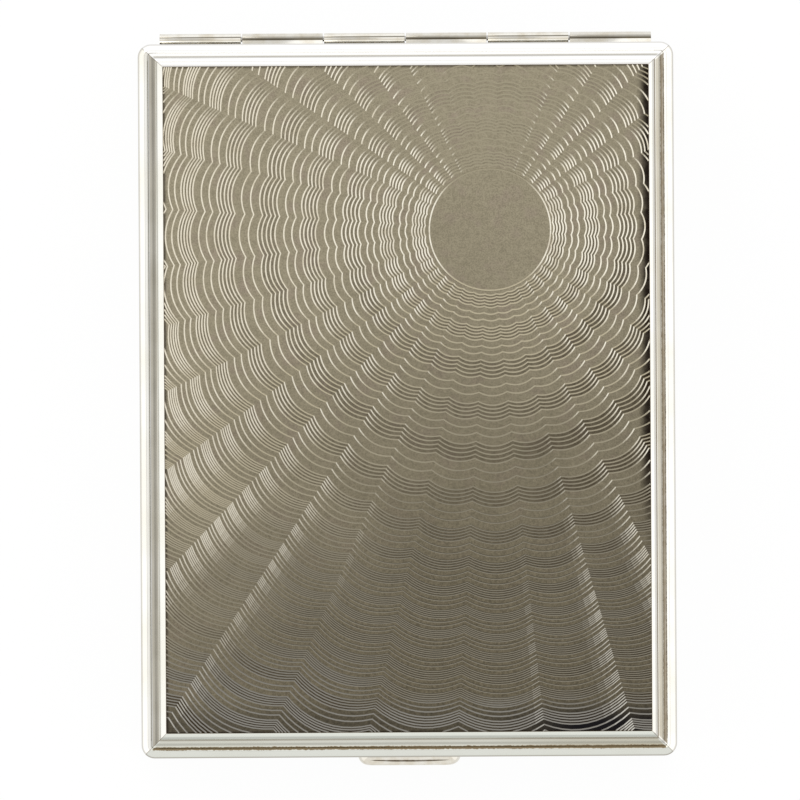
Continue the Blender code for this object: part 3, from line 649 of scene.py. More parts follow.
satin = {
    "bright": (colour(0.39, 0.345, 0.243), colour(0.24, 0.211, 0.145)),
    "red": (colour(0.37, 0.311, 0.237), colour(0.238, 0.196, 0.147)),
    "dark": (colour(0.176, 0.15, 0.1), colour(0.08, 0.068, 0.045)),
    # painted shade in the land between close cuts
    "valley": colour(0.03, 0.02, 0.01),
    # painted shade, with dirt, along the plate's edges beside the rim
    "edge": colour(0.012, 0.008, 0.006),
    "foot": colour(0.01, 0.0095, 0.011),
}


# Painted glint: the bright colours are for cuts that run lengthways, the across ones for cuts that run
# across. Each pair holds the painted shade of a cut's inner flank and the painted light of its outer one.
cuts = {
    "bright": colour(0.76, 0.715, 0.60),
    "dull": colour(0.55, 0.494, 0.38),
    "worn": (colour(0.11, 0.1, 0.082), colour(0.6, 0.575, 0.5)),
    "across": colour(0.43, 0.38, 0.27),
    "acrossUpper": colour(0.3, 0.266, 0.187),
    "acrossWorn": (colour(0.068, 0.06, 0.044), colour(0.21, 0.19, 0.148)),
    "acrossFoot": colour(0.21, 0.2, 0.178),
    "foot": colour(0.6, 0.58, 0.52),
    "nick": colour(0.2, 0.165, 0.11),
}


# Where the finish of the land and the cuts changes: the axis, and where the change starts and ends,
# in millimetres from the case's middle
zones = {
    "brightLeft": ("X", -12, -28),
    "brightLower": ("Y", -22, -36),
    "dirtyRight": ("X", 31.2, 34),
    "dirtyRightUpper": ("Y", -24, -8),
    "dirtyLeft": ("X", -33.45, -33.9),
    "dirtyBack": ("Y", 46.3, 46.75),
    "dirtyFront": ("Y", -46.1, -46.55),
    "speckled": ("X", 14, 34),
    "landFoot": ("Y", -41, -45.6),
    "landFootRight": ("X", 9, 24),
    "lowFoot": ("Y", -32, -42),
    "lowLeft": ("X", 2, -15),
    "landUpper": ("Y", 14, 36),
    "landRight": ("X", 10, 28),
    "cutLeft": ("X", 4, -24),
    "cutFoot": ("Y", -40.5, -44.5),
    "cutUpper": ("Y", 16, 34),
    "keenRight": ("X", 14, 28),
    "keenLower": ("Y", -36, -26),
}


def zone(place, name):
    axis, start, end = zones[name]
    return place.part(axis).step(start * mm, end * mm)


# The plate is duller and darker towards its lower right.
def dulled(place):
    x = place.part("X")
    slope = 0.2 * x - place.part("Y") - 0.35 * abs(x - 4 * mm)
    slope = slope - zone(place, "brightLeft") * zone(place, "brightLower") * (9 * mm)
    return (slope + (place.noise(45, 3, 0.6) - 0.5) * (26 * mm)).step(-45 * mm, 45 * mm)


# Painted shade along the edges beside the rim's lip, with dirt in it, widest along the upper part of the
# right one, and dark specks towards the right.
def edgeShadeAndDirt(place):
    dirt = zone(place, "dirtyRight") ** 1.4 * (0.2 + 0.8 * zone(place, "dirtyRightUpper"))
    for name, amount in (("dirtyLeft", 0.65), ("dirtyBack", 0.55), ("dirtyFront", 0.85)):
        dirt = dirt.highest(zone(place, name) * amount)
    dirt = dirt * (0.6 + 0.65 * place.noise(700, 4, 0.7))
    return dirt.highest(zone(place, "speckled") * place.noise(900, 4, 0.7) * 0.42)


# The foot of the plate's left half, where the lines stand out again
def lowLeft(place):
    return zone(place, "lowFoot") * zone(place, "lowLeft")


def satinLand(start, place):
    grain = (0.7 * place.noise(5000, 2, 0.6) + 0.3 * place.noise(1300, 3, 0.6)).step(0.3, 0.7)
    patch = place.noise(330, 2).step(0.5, 0.7)
    bright = (patch * 0.7).mix(grain.mix(*satin["bright"]), grain.mix(*satin["red"]))
    coarse = 0.5 * grain + 0.5 * place.noise(2400, 3, 0.7).step(0.36, 0.64)
    tone = dulled(place).mix(bright, coarse.mix(*satin["dark"]))
    foot = zone(place, "landFoot") * (0.44 + 0.56 * zone(place, "landFootRight"))
    tone = (foot * (0.8 + 0.4 * place.noise(110, 2))).mix(tone, satin["foot"])
    return {
        # painted shade and dirt along the edges
        "Base Color": edgeShadeAndDirt(place).step(0, 1).mix(tone, satin["edge"]),
        "Roughness": 0.27 + grain * 0.07,
        "Normal": (grain + 0.5 * place.noise(7000, 2)).bump(0.004 * mm),
    }


# The land between two cuts that lie close together, darkened with painted shade
def valleyWithPaintedShade(start, place):
    look = satinLand(start, place)
    upper = zone(place, "landUpper")
    across = carried(start, "lengthways").step(0.9, 0.5)
    shade = 0.4 - 0.2 * place.noise(1500, 3, 0.6).step(0.3, 0.75)
    shade = shade + 0.3 * zone(place, "landRight") * (1 - upper)
    shade = shade * (1 - upper * (0.3 + 0.5 * across)) + 0.4 * lowLeft(place)
    look["Base Color"] = shade.mix(look["Base Color"], satin["valley"])
    return look


# The cuts carry a painted glint: bright where a line runs lengthways, within about 40 degrees, and
# duller where it runs across the plate. Towards the lower right the cuts are darker, but for the foot,
# with painted shade on each cut's inner flank and painted light on its outer one.
def cutWithPaintedGlint(start, place):
    leftwards = zone(place, "cutLeft")
    dull = place.noise(420, 4, 0.65).step(0.42, 0.72)
    dull = dull + (1 - dull) * leftwards * 0.55
    nick = place.noise(4500, 2, 0.6).step(0.55, 0.8)
    foot = zone(place, "cutFoot").highest(lowLeft(place) * 0.8)
    worn = dulled(place)
    corner = leftwards * stripe(place.part("Y"), -44 * mm, -21 * mm, 13 * mm) * 0.66
    keen = zone(place, "keenRight") * zone(place, "keenLower")
    # painted shade and light on the flanks: the outer flank lit, the inner one shaded, most towards the
    # lower right
    flank = 0.5 + (carried(start, "outer") - 0.5) * worn.step(0.5, 0.95)
    tone = dull.mix(cuts["bright"], cuts["dull"])
    tone = (worn * (0.9 - 0.3 * keen)).highest(corner).mix(tone, flank.mix(*cuts["worn"]))
    across = zone(place, "cutUpper").mix(cuts["across"], cuts["acrossUpper"])
    across = worn.step(0.2, 0.9).mix(across, flank.mix(*cuts["acrossWorn"]))
    across = foot.mix(across, cuts["acrossFoot"])
    tone = carried(start, "lengthways").step(0.56, 0.93).mix(across, foot.mix(tone, cuts["foot"]))
    return {
        "Base Color": (nick * 0.4).mix(tone, cuts["nick"]),
        "Roughness": 0.12 + dull * 0.07 + nick * 0.06,
        "Normal": place.noise(4200, 2).bump(0.0004 * mm),
    }


# The rows of the plate's grid, from the cartouche outwards: the radius, the depth below the plate's
# face, and of the faces outside that row their material and whether they are a cut's outer flank.
def plateRows():
    disc, rise, cut, deep = plate["disc"], plate["discRise"], plate["cutWidth"] / 2, plate["cutDepth"]
    rows = [(disc / 3, -rise, 0, 0), (disc * 2 / 3, -rise, 0, 0), (disc - 2 * cut, -rise, 1, 0)]
    rows += [(disc - cut, deep - rise, 1, 0), (disc, -rise, 0, 0), (disc + plate["discEdge"], 0, 0, 0)]
    bands = np.array(plate["bands"]) * mm
    for start, width in zip(bands, np.diff(bands)):
        for share, valley in zip(plate["lineShares"], plate["valleys"]):
            line = start + width * share
            rows += [(line - cut, 0, 1, 0), (line, deep, 1, 1), (line + cut, 0, 2 * valley, 0)]
    return np.array(rows + [(bands[-1] + plate["past"], 0, 0, 0)]).T


# Cuts the plate's grid to its rectangle, turns the edge down into a wall and closes the back.
def trimPlate(mesh, halves, drop):
    work = bmesh.new()
    work.from_mesh(mesh)
    for normal in ((-1, 0, 0), (0, -1, 0), (1, 0, 0), (0, 1, 0)):
        corner = (normal[0] * halves[0], normal[1] * halves[1], 0)
        cutting = {"plane_co": corner, "plane_no": normal, "clear_outer": True, "dist": 1e-7}
        bmesh.ops.bisect_plane(work, geom=work.verts[:] + work.edges[:] + work.faces[:], **cutting)
    edges = [edge for edge in work.edges if edge.is_boundary]
    wall = bmesh.ops.extrude_edge_only(work, edges=edges)["geom"]
    lower = [part for part in wall if isinstance(part, bmesh.types.BMVert)]
    bmesh.ops.translate(work, verts=lower, vec=(0, 0, drop))
    for face in [part for part in wall if isinstance(part, bmesh.types.BMFace)]:
        face.material_index = 0
    bottom = [part for part in wall if isinstance(part, bmesh.types.BMEdge)]
    bmesh.ops.contextual_create(work, geom=bottom)
    bmesh.ops.recalc_face_normals(work, faces=work.faces)
    work.to_mesh(mesh)
    work.free()


def makePlate(half, materials):
    radius, depth, material, outer = plateRows()[:, :, None]
    columns = plate["scallops"] * plate["columns"]
    waved = radius > (plate["disc"] + plate["bands"][0] * mm) / 2
    wave = np.where(waved, plate["waveShare"] * radius - plate["waveDrop"], 0)
    u = 2 * (np.arange(columns) % plate["columns"]) / plate["columns"] - 1
    angle = math.radians(plate["cusp"]) + np.arange(columns) * 2 * np.pi / columns
    reach = radius - wave * u**2
    x = plate["centre"][0] + plate["off"] * waved + reach * np.cos(angle)
    y = plate["centre"][1] + (1 + (plate["stretch"] - 1) * waved) * reach * np.sin(angle)
    grid = placed("XYZ", x, y, level(half, plate["face"] + depth))
    points = grid.reshape(-1, 3)
    faces = gridFaces(len(radius), columns, closeColumns=True)
    halves = case["width"] / 2 - plate["inset"], case["length"] / 2 - plate["inset"]
    kept = (np.abs(points[:, :2]) < halves).all(1)[faces].any(1)
    used, corners = np.unique(faces[kept], return_inverse=True)
    pole = [(*plate["centre"], level(half, plate["face"] - plate["discRise"]))]
    ring = np.arange(columns)
    fan = np.stack([ring, np.roll(ring, -1), np.full(columns, len(used))], -1)
    mesh = bpy.data.meshes.new(half + "_plate")
    mesh.from_pydata(points[used].tolist() + pole, [], corners.reshape(-1, 4).tolist() + fan.tolist())
    # how far each stretch of a line runs in the direction in which the painted glint on the cuts is
    # brightest
    run = np.roll(grid, -1, 1) - grid
    most, foot = plate["lean"]
    lean = np.interp(-y, [0, foot], [0, math.radians(most)])
    lengthways = np.abs(run[..., 1] * np.cos(lean) + run[..., 0] * np.sin(lean))
    lengthways /= np.hypot(run[..., 0], run[..., 1])
    for key, value in (("material", material), ("lengthways", lengthways), ("outer", outer)):
        value = np.broadcast_to(value, lengthways.shape)[:-1].ravel()[kept]
        value = np.append(value, np.zeros(columns))  # for the fan
        if key == "material":
            mesh.polygons.foreach_set("material_index", value.astype(np.int32))
        else:
            layer = mesh.attributes.new(key, "FLOAT", "FACE")
            layer.data.foreach_set("value", value.astype(np.float32))
    trimPlate(mesh, halves, level(half, plate["back"]) - level(half, plate["face"]))
    print(half, "plate:", len(mesh.polygons), "faces")
    piece = addToScene(half + "_plate", mesh)
    return finish(piece, materials, half, half + "_panel", 6)


looks = {"satin land": satinLand, "bright cut": cutWithPaintedGlint, "dull valley": valleyWithPaintedShade}
plateMaterials = [metal(name, look) for name, look in looks.items()]
for half in ("base", "lid"):
    makePlate(half, plateMaterials)
print("plates done")


# A leaf's section across the hinge: a strip inside the wall, a bend, and a roll round the pin whose
# outer and inner faces are half a sheet either side of a circle.
def leafOutline(half):
    thin = hinge["sheet"] / 2
    hole = hinge["pin"] + hinge["fit"]
    roll = hole + thin
    bend = hinge["bend"] + thin
    strip = -(hinge["y"] - case["length"] / 2 + hinge["inset"] + thin)
    bendTurn = np.linspace(np.pi, np.pi / 2, 6)
    end = np.pi + math.asin((hole - hinge["slit"]) / (hole + hinge["sheet"]))
    curlTurn = np.linspace(-np.pi / 2, end, hinge["steps"])
    y = np.concatenate([[strip], strip + bend + bend * np.cos(bendTurn), roll * np.cos(curlTurn)])
    z = np.concatenate([[-hinge["reach"]], -roll - bend + bend * np.sin(bendTurn), roll * np.sin(curlTurn)])
    turnY = np.concatenate([[1], -np.cos(bendTurn), np.cos(curlTurn)])
    turnZ = np.concatenate([[0], -np.sin(bendTurn), np.sin(curlTurn)])
    outer = np.stack([y + thin * turnY, z + thin * turnZ], -1)
    inner = np.stack([y - thin * turnY, z - thin * turnZ], -1)[::-1]
    outline = np.concatenate([outer, inner]) + (hinge["y"], hinge["z"])
    outline[:, 1] = level(half, outline[:, 1])
    return outline, hinge["y"] + strip + bend


def makeLeaf(half, material):
    outline, bendY = leafOutline(half)
    length = hinge["knuckles"] * hinge["knuckle"]
    piece = prism(half + "_knuckles", outline, "YZX", -length / 2, length / 2)
    curl = hinge["roll"] + case["overrun"]
    for number in range(1 if half == "base" else 0, hinge["knuckles"], 2):
        low = number * hinge["knuckle"] - length / 2 - hinge["gap"] / 2
        high = low + hinge["knuckle"] + hinge["gap"]
        low -= case["overrun"] if number == 0 else 0
        high += case["overrun"] if number == hinge["knuckles"] - 1 else 0
        corner = (low, bendY + hinge["stub"], hinge["z"] - curl)
        combine(piece, block("gap", corner, (high, hinge["y"] + curl, hinge["z"] + curl)))
    easeEdges(piece, hinge["edge"])
    return finish(piece, [material], half, half + "_hinge_leaf")


rolled = {
    "bright": colour(0.83, 0.81, 0.75),
    "warm": colour(0.64, 0.58, 0.46),
    "beige": colour(0.42, 0.375, 0.29),
    "dark": colour(0.085, 0.068, 0.04),
    "speck": colour(0.17, 0.13, 0.08),
}


# Drawn strip, darkened in a band along each roll above and below. The band lies between two places
# measured backwards from the hinge's axis, and is darkest at the first one. In front of it lies a beige one.
def rolledNickel(start, place, low=0.18 * mm, high=0.5 * mm, beige=0.5):
    streak = place.stretch((60, 3800, 3800)).noise(1, 3, 0.6)
    cloud = place.noise(500, 3, 0.6).step(0.35, 0.75)
    speck = place.noise(3500, 3, 0.7).step(0.62, 0.8)
    tone = (cloud * 0.7).mix(rolled["bright"], rolled["warm"])
    behind = place.part("Y") - hinge["y"]
    outside = abs(place.part("Z") - hinge["z"]).step(0.35 * mm, 0.5 * mm)
    tone = (stripe(behind, -0.24 * mm, 0.06 * mm, 0.05 * mm) * outside * beige).mix(tone, rolled["beige"])
    band = behind.step(low - 0.04 * mm, low + 0.02 * mm) * behind.step(high, low) * outside
    tone = (band * (0.8 + 0.4 * streak)).mix(tone, rolled["dark"])
    return {
        "Base Color": (speck * 0.35).mix(tone, rolled["speck"]),
        "Roughness": 0.09 + streak * 0.06 + cloud * 0.05,
        "Normal": streak.bump(0.0012 * mm, 1, place.noise(420, 2).bump(0.0008 * mm)),
    }


def wideBand(start, place):
    return rolledNickel(start, place, -0.16 * mm, 0.8 * mm, 0)


def makePin(material):
    length = hinge["knuckles"] * hinge["knuckle"] - hinge["gap"]
    turn = np.linspace(0, np.pi / 2, 7)[:-1]
    end = length / 2 + hinge["dome"] * np.sin(turn)
    along = np.concatenate([-end[::-1], end])
    radius = hinge["pin"] * np.concatenate([np.cos(turn[::-1]), np.cos(turn)])
    piece = turned("hinge_wire", np.stack([along, radius], -1), "YZX", (hinge["y"], hinge["z"]), 32)
    return finish(piece, [material], "base", "hinge_pin")


steel = {
    "bright": colour(0.62, 0.615, 0.6),
    "dull": colour(0.44, 0.42, 0.385),
    "edge": colour(0.7, 0.695, 0.68),
    "dullEdge": colour(0.5, 0.485, 0.45),
}


def springSteel(start, place):
    streak = place.stretch((2600, 2600, 300)).noise(1, 3, 0.6)
    return {
        "Base Color": place.noise(800, 3).step(0.35, 0.75).mix(steel["bright"], steel["dull"]),
        "Roughness": 0.2 + streak * 0.14,
        "Normal": streak.bump(0.003 * mm),
    }


# The steel fittings' edges, rubbed bright
def steelEdge(start, place):
    dull = place.noise(900, 3, 0.6).step(0.4, 0.7)
    return {"Base Color": dull.mix(steel["edge"], steel["dullEdge"]), "Roughness": 0.16 + 0.1 * dull}


steelMaterial = metal("spring steel", springSteel)
makeLeaf("base", metal("rolled knuckle", rolledNickel))
makeLeaf("lid", metal("tarnished knuckle", wideBand))
makePin(steelMaterial)
print("hinge done")


# The catch button: rounded rectangles carried forwards, closing in on a quarter ellipse and turned
# back into a hollow for the thumb, with the flange and hook behind.
def makeButton(material):
    # two rings at the full size, one behind the wall and one in front, then the quarter ellipse
    turn = np.concatenate([[0], np.linspace(0, np.pi / 2, button["steps"] + 1)])
    deep = np.linspace(0, 1, 8)
    halfWidth, halfHeight = button["width"] / 2, button["height"] / 2
    tipWidth, tipHeight = button["tipWidth"] / 2, button["tipHeight"] / 2
    dome = button["reach"] - button["neck"]
    hollowInset = button["lip"] + (tipHeight - button["lip"] - button["innermost"]) * deep
    hollow = button["hollow"] * np.sin(deep * np.pi / 2) - button["reach"]
    back = button["flangeEnds"][0] + button["ease"]
    inward = np.concatenate([[back], -button["neck"] - dome * np.sin(turn[1:]), hollow])
    across = [tipWidth + (halfWidth - tipWidth) * np.cos(turn), tipWidth - hollowInset]
    up = [tipHeight + (halfHeight - tipHeight) * np.cos(turn), tipHeight - hollowInset]
    across, up = np.concatenate(across)[:, None], np.concatenate(up)[:, None]
    corner = np.minimum(up, button["corner"] * up / halfHeight)
    corner = np.maximum(corner, button["leastCorner"])
    rings = roundedRectangle(across, up, corner) + (0, button["z"])
    piece = loft("catch_thumb_piece", placed("XZY", rings[..., 0], rings[..., 1], front(inward)[:, None]))
    flange = roundedRectangle(*button["flange"], button["corner"]) + (0, button["z"])
    ends = [front(end) for end in button["flangeEnds"]]
    combine(piece, prism("flange", flange, "XZY", *ends), "UNION")
    hook = eased(np.array(button["hook"]) * mm, button["ease"], 3)
    hook[:, 0] = front(hook[:, 0])
    half = button["hookWidth"] / 2
    combine(piece, prism("hook", hook, "YZX", -half, half), "UNION")
    return finish(piece, [material], "button", "catch_button")


# The button is dull from thumbs, with a bowed line of brown dirt across its top and foot that thins
# out towards its ends
def buttonNickel(start, place):
    look = polishedNickel(start, place)
    worn = place.noise(700, 3, 0.6).step(0.3, 0.8)
    share = abs(place.part("X")) / button["dirtHalf"]
    ahead, spread = button["dirt"]
    away = abs(front(0) - place.part("Y") - ahead + share * share * spread)
    away = away + (place.noise(900, 2) - 0.5) * spread * 0.6
    width = spread * (1 - share * share * share)
    dirt = away.step(width * 1.5, width * 0.7) * share.step(1.02, 0.85)
    tone = worn.mix(button["clean"], button["rubbed"])
    look["Base Color"] = (dirt * (0.75 + 0.3 * worn)).mix(tone, button["brown"])
    return look


makeButton(metal("button", buttonNickel))
print("catch button done")


# The gilt linings: trays with a rounded foot and a rounded free edge. The back wall stands further
# in, behind the hinge's strip.
lining = {
    "inset": 0.7 * mm,
    "backInset": 1.15 * mm,
    "sheet": 0.35 * mm,
    "under": 1.1 * mm,  # height of the floor's outer face
    "fillet": 0.3 * mm,
    "edge": 0.12 * mm,
    "steps": 8,
    "notch": (8.85 * mm, 4.7 * mm, 0.7 * mm),  # half its width, its foot and its corners
}

gilt = {
    "bright": colour(0.72, 0.505, 0.19),
    "pale": colour(0.72, 0.56, 0.29),
    "deep": colour(0.46, 0.27, 0.08),
    "strap": colour(0.80, 0.60, 0.27),
    # painted shade on the fittings' rounded edges
    "brown": colour(0.3, 0.18, 0.06),
    "dirt": colour(0.12, 0.065, 0.02),
    "bare": colour(0.66, 0.61, 0.50),  # where the gilding is rubbed through
    "row": 8.2 * mm,  # width of a cigarette's place
}


# Bright gilding, brushed lengthways and a little clouded. It is rubbed paler in a strip under each
# cigarette's place, stained brown between them, and worn through along the free edge.
def giltSheet(start, place):
    worn, crease = carried(start, "worn"), carried(start, "crease")
    brushed = place.stretch((3200, 60, 3200)).noise(1, 4, 0.65)
    cloud = place.noise(110, 6, 0.68).step(0.36, 0.68)
    speck = place.noise(2600, 3, 0.7).step(0.64, 0.8) * place.noise(150, 2).step(0.4, 0.7)
    row = place.part("X") / gilt["row"]
    row = abs(row - row.maths("ROUND", row))
    within = abs(place.part("Y")).step(44 * mm, 40 * mm)
    rubbed = row.step(0.22, 0.04) * within * place.noise(170, 5, 0.65).step(0.4, 0.66)
    stained = row.step(0.32, 0.5) * within * place.noise(260, 5, 0.65).step(0.34, 0.7)
    tone = (cloud * 0.4 + brushed.step(0.35, 0.75) * 0.3).mix(gilt["bright"], gilt["deep"])
    tone = (rubbed * 0.5).mix(tone, gilt["pale"])
    tone = (stained * 0.4).mix(tone, gilt["deep"])
    tone = (worn * (0.35 + 0.9 * place.noise(500, 4, 0.65))).step(0.3, 1).mix(tone, gilt["bare"])
    # darker along the crease at the floor's foot, and in specks
    dirt = (crease * (0.3 + place.noise(400, 4, 0.6))).step(0.25, 1.1) * 0.75
    scratch = scuffs(place)
    rough = 0.17 + brushed * 0.14 + cloud * 0.06 - rubbed * 0.05
    swell = place.noise(150, 2).bump(0.012 * mm)
    return {
        "Base Color": dirt.highest(speck * 0.5).mix(tone, gilt["dirt"]),
        "Roughness": rough + scratch * 0.08 + dirt * 0.25,
        "Normal": (brushed + scratch * 0.6).bump(0.0022 * mm, 1, swell),
    }


# The arms and their brackets: paler than the trays, rubbed across the middle and worn to the metal
# beneath in spots
def giltStrap(start, place):
    brushed = place.stretch((90, 3000, 3000)).noise(1, 3, 0.6)
    rubbed = place.noise(190, 3, 0.6).step(0.35, 0.7)
    bare = place.noise(420, 4, 0.65).step(0.6, 0.72)
    tone = rubbed.mix(gilt["strap"], gilt["pale"])
    scratch = scuffs(place)
    return {
        "Base Color": (bare * 0.6).mix(tone, gilt["bare"]),
        "Roughness": 0.13 + brushed * 0.1 + scratch * 0.08,
        "Normal": (brushed + scratch * 0.6).bump(0.002 * mm, 1, place.noise(240, 2).bump(0.006 * mm)),
    }


# The rounded edges of the gilt fittings, painted brown as shade that outlines them, but for the rubbed spots
def giltEdgeWithPaintedShade(start, place):
    through = place.noise(650, 4, 0.65).step(0.5, 0.7)
    return {
        "Base Color": through.mix(gilt["brown"], gilt["pale"]),
        "Roughness": 0.2 + 0.14 * place.noise(1800, 3),
    }


def makeLining(half, material):
    turn = np.linspace(0, np.pi / 2, lining["steps"] + 1)
    sheet, edge, fillet = lining["sheet"], lining["edge"], lining["fillet"]
    outer = fillet + sheet
    top = case["halfHeight"] - edge
    floor = lining["under"] + sheet
    parts = [
        (outer * (1 - np.sin(turn)), lining["under"] + outer * (1 - np.cos(turn))),
        ([0], [top - mm]),
        (edge * (1 - np.cos(turn[::2])), top + edge * np.sin(turn[::2])),
        (sheet - edge + edge * np.sin(turn[::2]), top + edge * np.cos(turn[::2])),
        ([sheet, sheet], [top - 0.5 * mm, floor + 2 * fillet]),
        (sheet + fillet * (1 - np.sin(turn[::-1])), floor + fillet * (1 - np.cos(turn[::-1]))),
        ([sheet + 3 * fillet], [floor]),
    ]
    inward = np.concatenate([part[0] for part in parts])
    height = np.concatenate([part[1] for part in parts])
    loops = caseLoops(half, lining["inset"] + inward, height, lining["backInset"] + inward)
    worn = (height > top - edge / 4) * 1.0
    crease = np.exp(-(((inward - sheet - 0.7 * fillet) / fillet) ** 2)) * (height < floor + fillet)
    piece = loft(half + "_tray", loops, {"worn": worn, "crease": crease * (inward > sheet)})
    if half == "base":
        halfWidth, low, corner = lining["notch"]
        reach = case["halfHeight"] - low + case["overrun"]
        outline = roundedRectangle(halfWidth, reach, corner) + (0, low + reach)
        pierce(piece, outline, "XZY", front(lining["inset"]), front(lining["inset"] + sheet))
    return finish(piece, [material], half, half + "_lining", 40)


traySheet = metal("gilt sheet", giltSheet)
for half in ("base", "lid"):
    makeLining(half, traySheet)
print("linings done")


# The retaining arms, their brackets, pins and springs
arm = {
    "y": joints["base_arm_lift"]["pos_m"][1],
    "pivot": joints["base_arm_lift"]["pos_m"][2],
    "seat": 1.55 * mm,  # height of the outer face of what lies on a lining's floor
    "sheet": 0.4 * mm,
    "outer": 35.65 * mm,
    "leg": 2.2 * mm,
    "bar": 5 * mm,
    "reach": 46 * mm,
    "ease": (1.6 * mm, 0.1 * mm, 0.5 * mm, 1.8 * mm),
    "rib": (28 * mm, 0.9 * mm, 0.17 * mm),  # half its length, half its width, and its height
    "ear": 35.55 * mm,
    "earRadius": 1.4 * mm,
    "foot": (5.6 * mm, 2.6 * mm),  # from the pivot to the ends of the ear's foot
    "bore": 0.6 * mm,
    "edge": 0.07 * mm,
    "bracket": 36.15 * mm,
    "bracketBack": 2.2 * mm,
    "pin": 0.5 * mm,
    "headStart": 33.57 * mm,
    "head": (1.0 * mm, 0.5 * mm),
    "wire": 0.15 * mm,
    "coil": 0.8 * mm,
    "coilStart": 34.9 * mm,
    "coilLength": 1.08 * mm,
    "turns": 3,
    "legs": (5.5 * mm, 1.9 * mm),
    "footEase": (0.05 * mm, 0.05 * mm, 0.7 * mm, 0.7 * mm),
}
arm["middle"] = arm["seat"] + arm["sheet"] / 2 - arm["pivot"]  # of the sheet, from the pivot


# A round hole through a sheet
def bore(piece, centre, ends, axes, radius):
    low, high = sorted(ends)
    profile = [(low - case["overrun"], radius), (high + case["overrun"], radius)]
    return combine(piece, turned("bore", profile, axes, centre, 32))


def pivot(half):
    return arm["y"], level(half, arm["pivot"])


# An ear that stands across the case: an arc round the pivot, and the two points of its foot
def makeEar(name, half, turn, foot, ends):
    ear = np.concatenate([arm["earRadius"] * np.stack([np.cos(turn), np.sin(turn)], -1), foot])
    outline = np.stack([arm["y"] + ear[:, 0], level(half, arm["pivot"] + ear[:, 1])], -1)
    return prism(name, outline, "YZX", *ends)


# A low rib with rounded ends along the bar, whose section is half an ellipse
def ribRings(half):
    length, width, height = arm["rib"]
    turn = np.linspace(0.12, np.pi / 2, 8)
    across = width * np.concatenate([np.sin(turn), np.sin(turn[::-1])])
    along = np.concatenate([-(length + width * np.cos(turn)), (length + width * np.cos(turn))[::-1]])
    angle = np.arange(32) * 2 * np.pi / 32
    y = arm["y"] - arm["reach"] + across[:, None] * np.cos(angle)
    lift = across[:, None] / width * height * np.sin(angle)
    return placed("XYZ", along[:, None], y, level(half, arm["seat"] + arm["sheet"] + lift))


def makeArm(half, body, materials):
    low = arm["y"] - arm["reach"] - arm["bar"] / 2
    legEnd = arm["y"] - arm["foot"][1]
    inner = arm["outer"] - arm["leg"]
    corners = [(arm["outer"], low), (arm["outer"], legEnd), (inner, legEnd), (inner, low + arm["bar"])]
    corners += [(-x, y) for x, y in corners[::-1]]
    outline = eased(corners, arm["ease"] + arm["ease"][::-1])
    heights = level(half, arm["seat"]), level(half, arm["seat"] + arm["sheet"])
    piece = prism(half + "_retaining_arm", outline, "XYZ", *heights)
    foot = [(-reach, arm["middle"]) for reach in arm["foot"]]
    for side in (-1, 1):
        ends = side * arm["ear"], side * (arm["ear"] - arm["sheet"])
        ear = makeEar("ear", half, np.linspace(-np.pi * 3 / 8, np.pi, 24), foot, ends)
        combine(piece, ear, "UNION")
        bore(piece, pivot(half), ends, "YZX", arm["bore"])
    easeEdges(piece, arm["edge"], materials)
    combine(piece, loft("rib", ribRings(half)), "UNION")
    return finish(piece, materials, body, half + "_arm", 40)


def makeArmBracket(half, side, word, materials):
    sheet, seat = arm["sheet"], case["seat"]
    foot = [(-arm["earRadius"], arm["middle"]), (arm["bracketBack"], arm["middle"])]
    ends = side * arm["bracket"], side * (arm["bracket"] - sheet)
    node = half + "_arm_bracket_" + word
    piece = makeEar(node + "_ear", half, np.linspace(0, np.pi, 20), foot, ends)
    near, far = arm["y"] - arm["earRadius"] + seat, arm["y"] + arm["bracketBack"] - seat
    outer, inner = side * (arm["bracket"] - sheet / 2), side * (arm["headStart"] - arm["head"][1])
    corners = [(outer, near), (outer, far), (inner, far), (inner, near)]
    heights = level(half, arm["seat"]), level(half, arm["seat"] + sheet)
    combine(piece, prism("foot", eased(corners, arm["footEase"]), "XYZ", *heights), "UNION")
    bore(piece, pivot(half), ends, "YZX", arm["bore"])
    easeEdges(piece, arm["edge"], materials)
    return finish(piece, materials, half, node, 40)


# The pin's profile from its outer end to the middle of its head's face, which is dished
def makeArmPin(half, side, word, material):
    start, pin, (head, thick), ease = arm["headStart"], arm["pin"], arm["head"], arm["edge"]
    end = start - thick
    profile = [(arm["bracket"], pin - ease), (arm["bracket"] - ease, pin), (start, pin)]
    profile += [(start, head - ease), (start - ease, head), (end + 2 * ease, head)]
    profile += [(end + ease / 2, head - ease), (end, head - 3 * ease)]
    profile += [(end, head / 3), (end + ease, head / 4)]
    node = half + "_arm_pin_" + word
    piece = turned(node + "_turned", np.array(profile) * (side, 1), "YZX", pivot(half), 40)
    return finish(piece, [material], half, node)


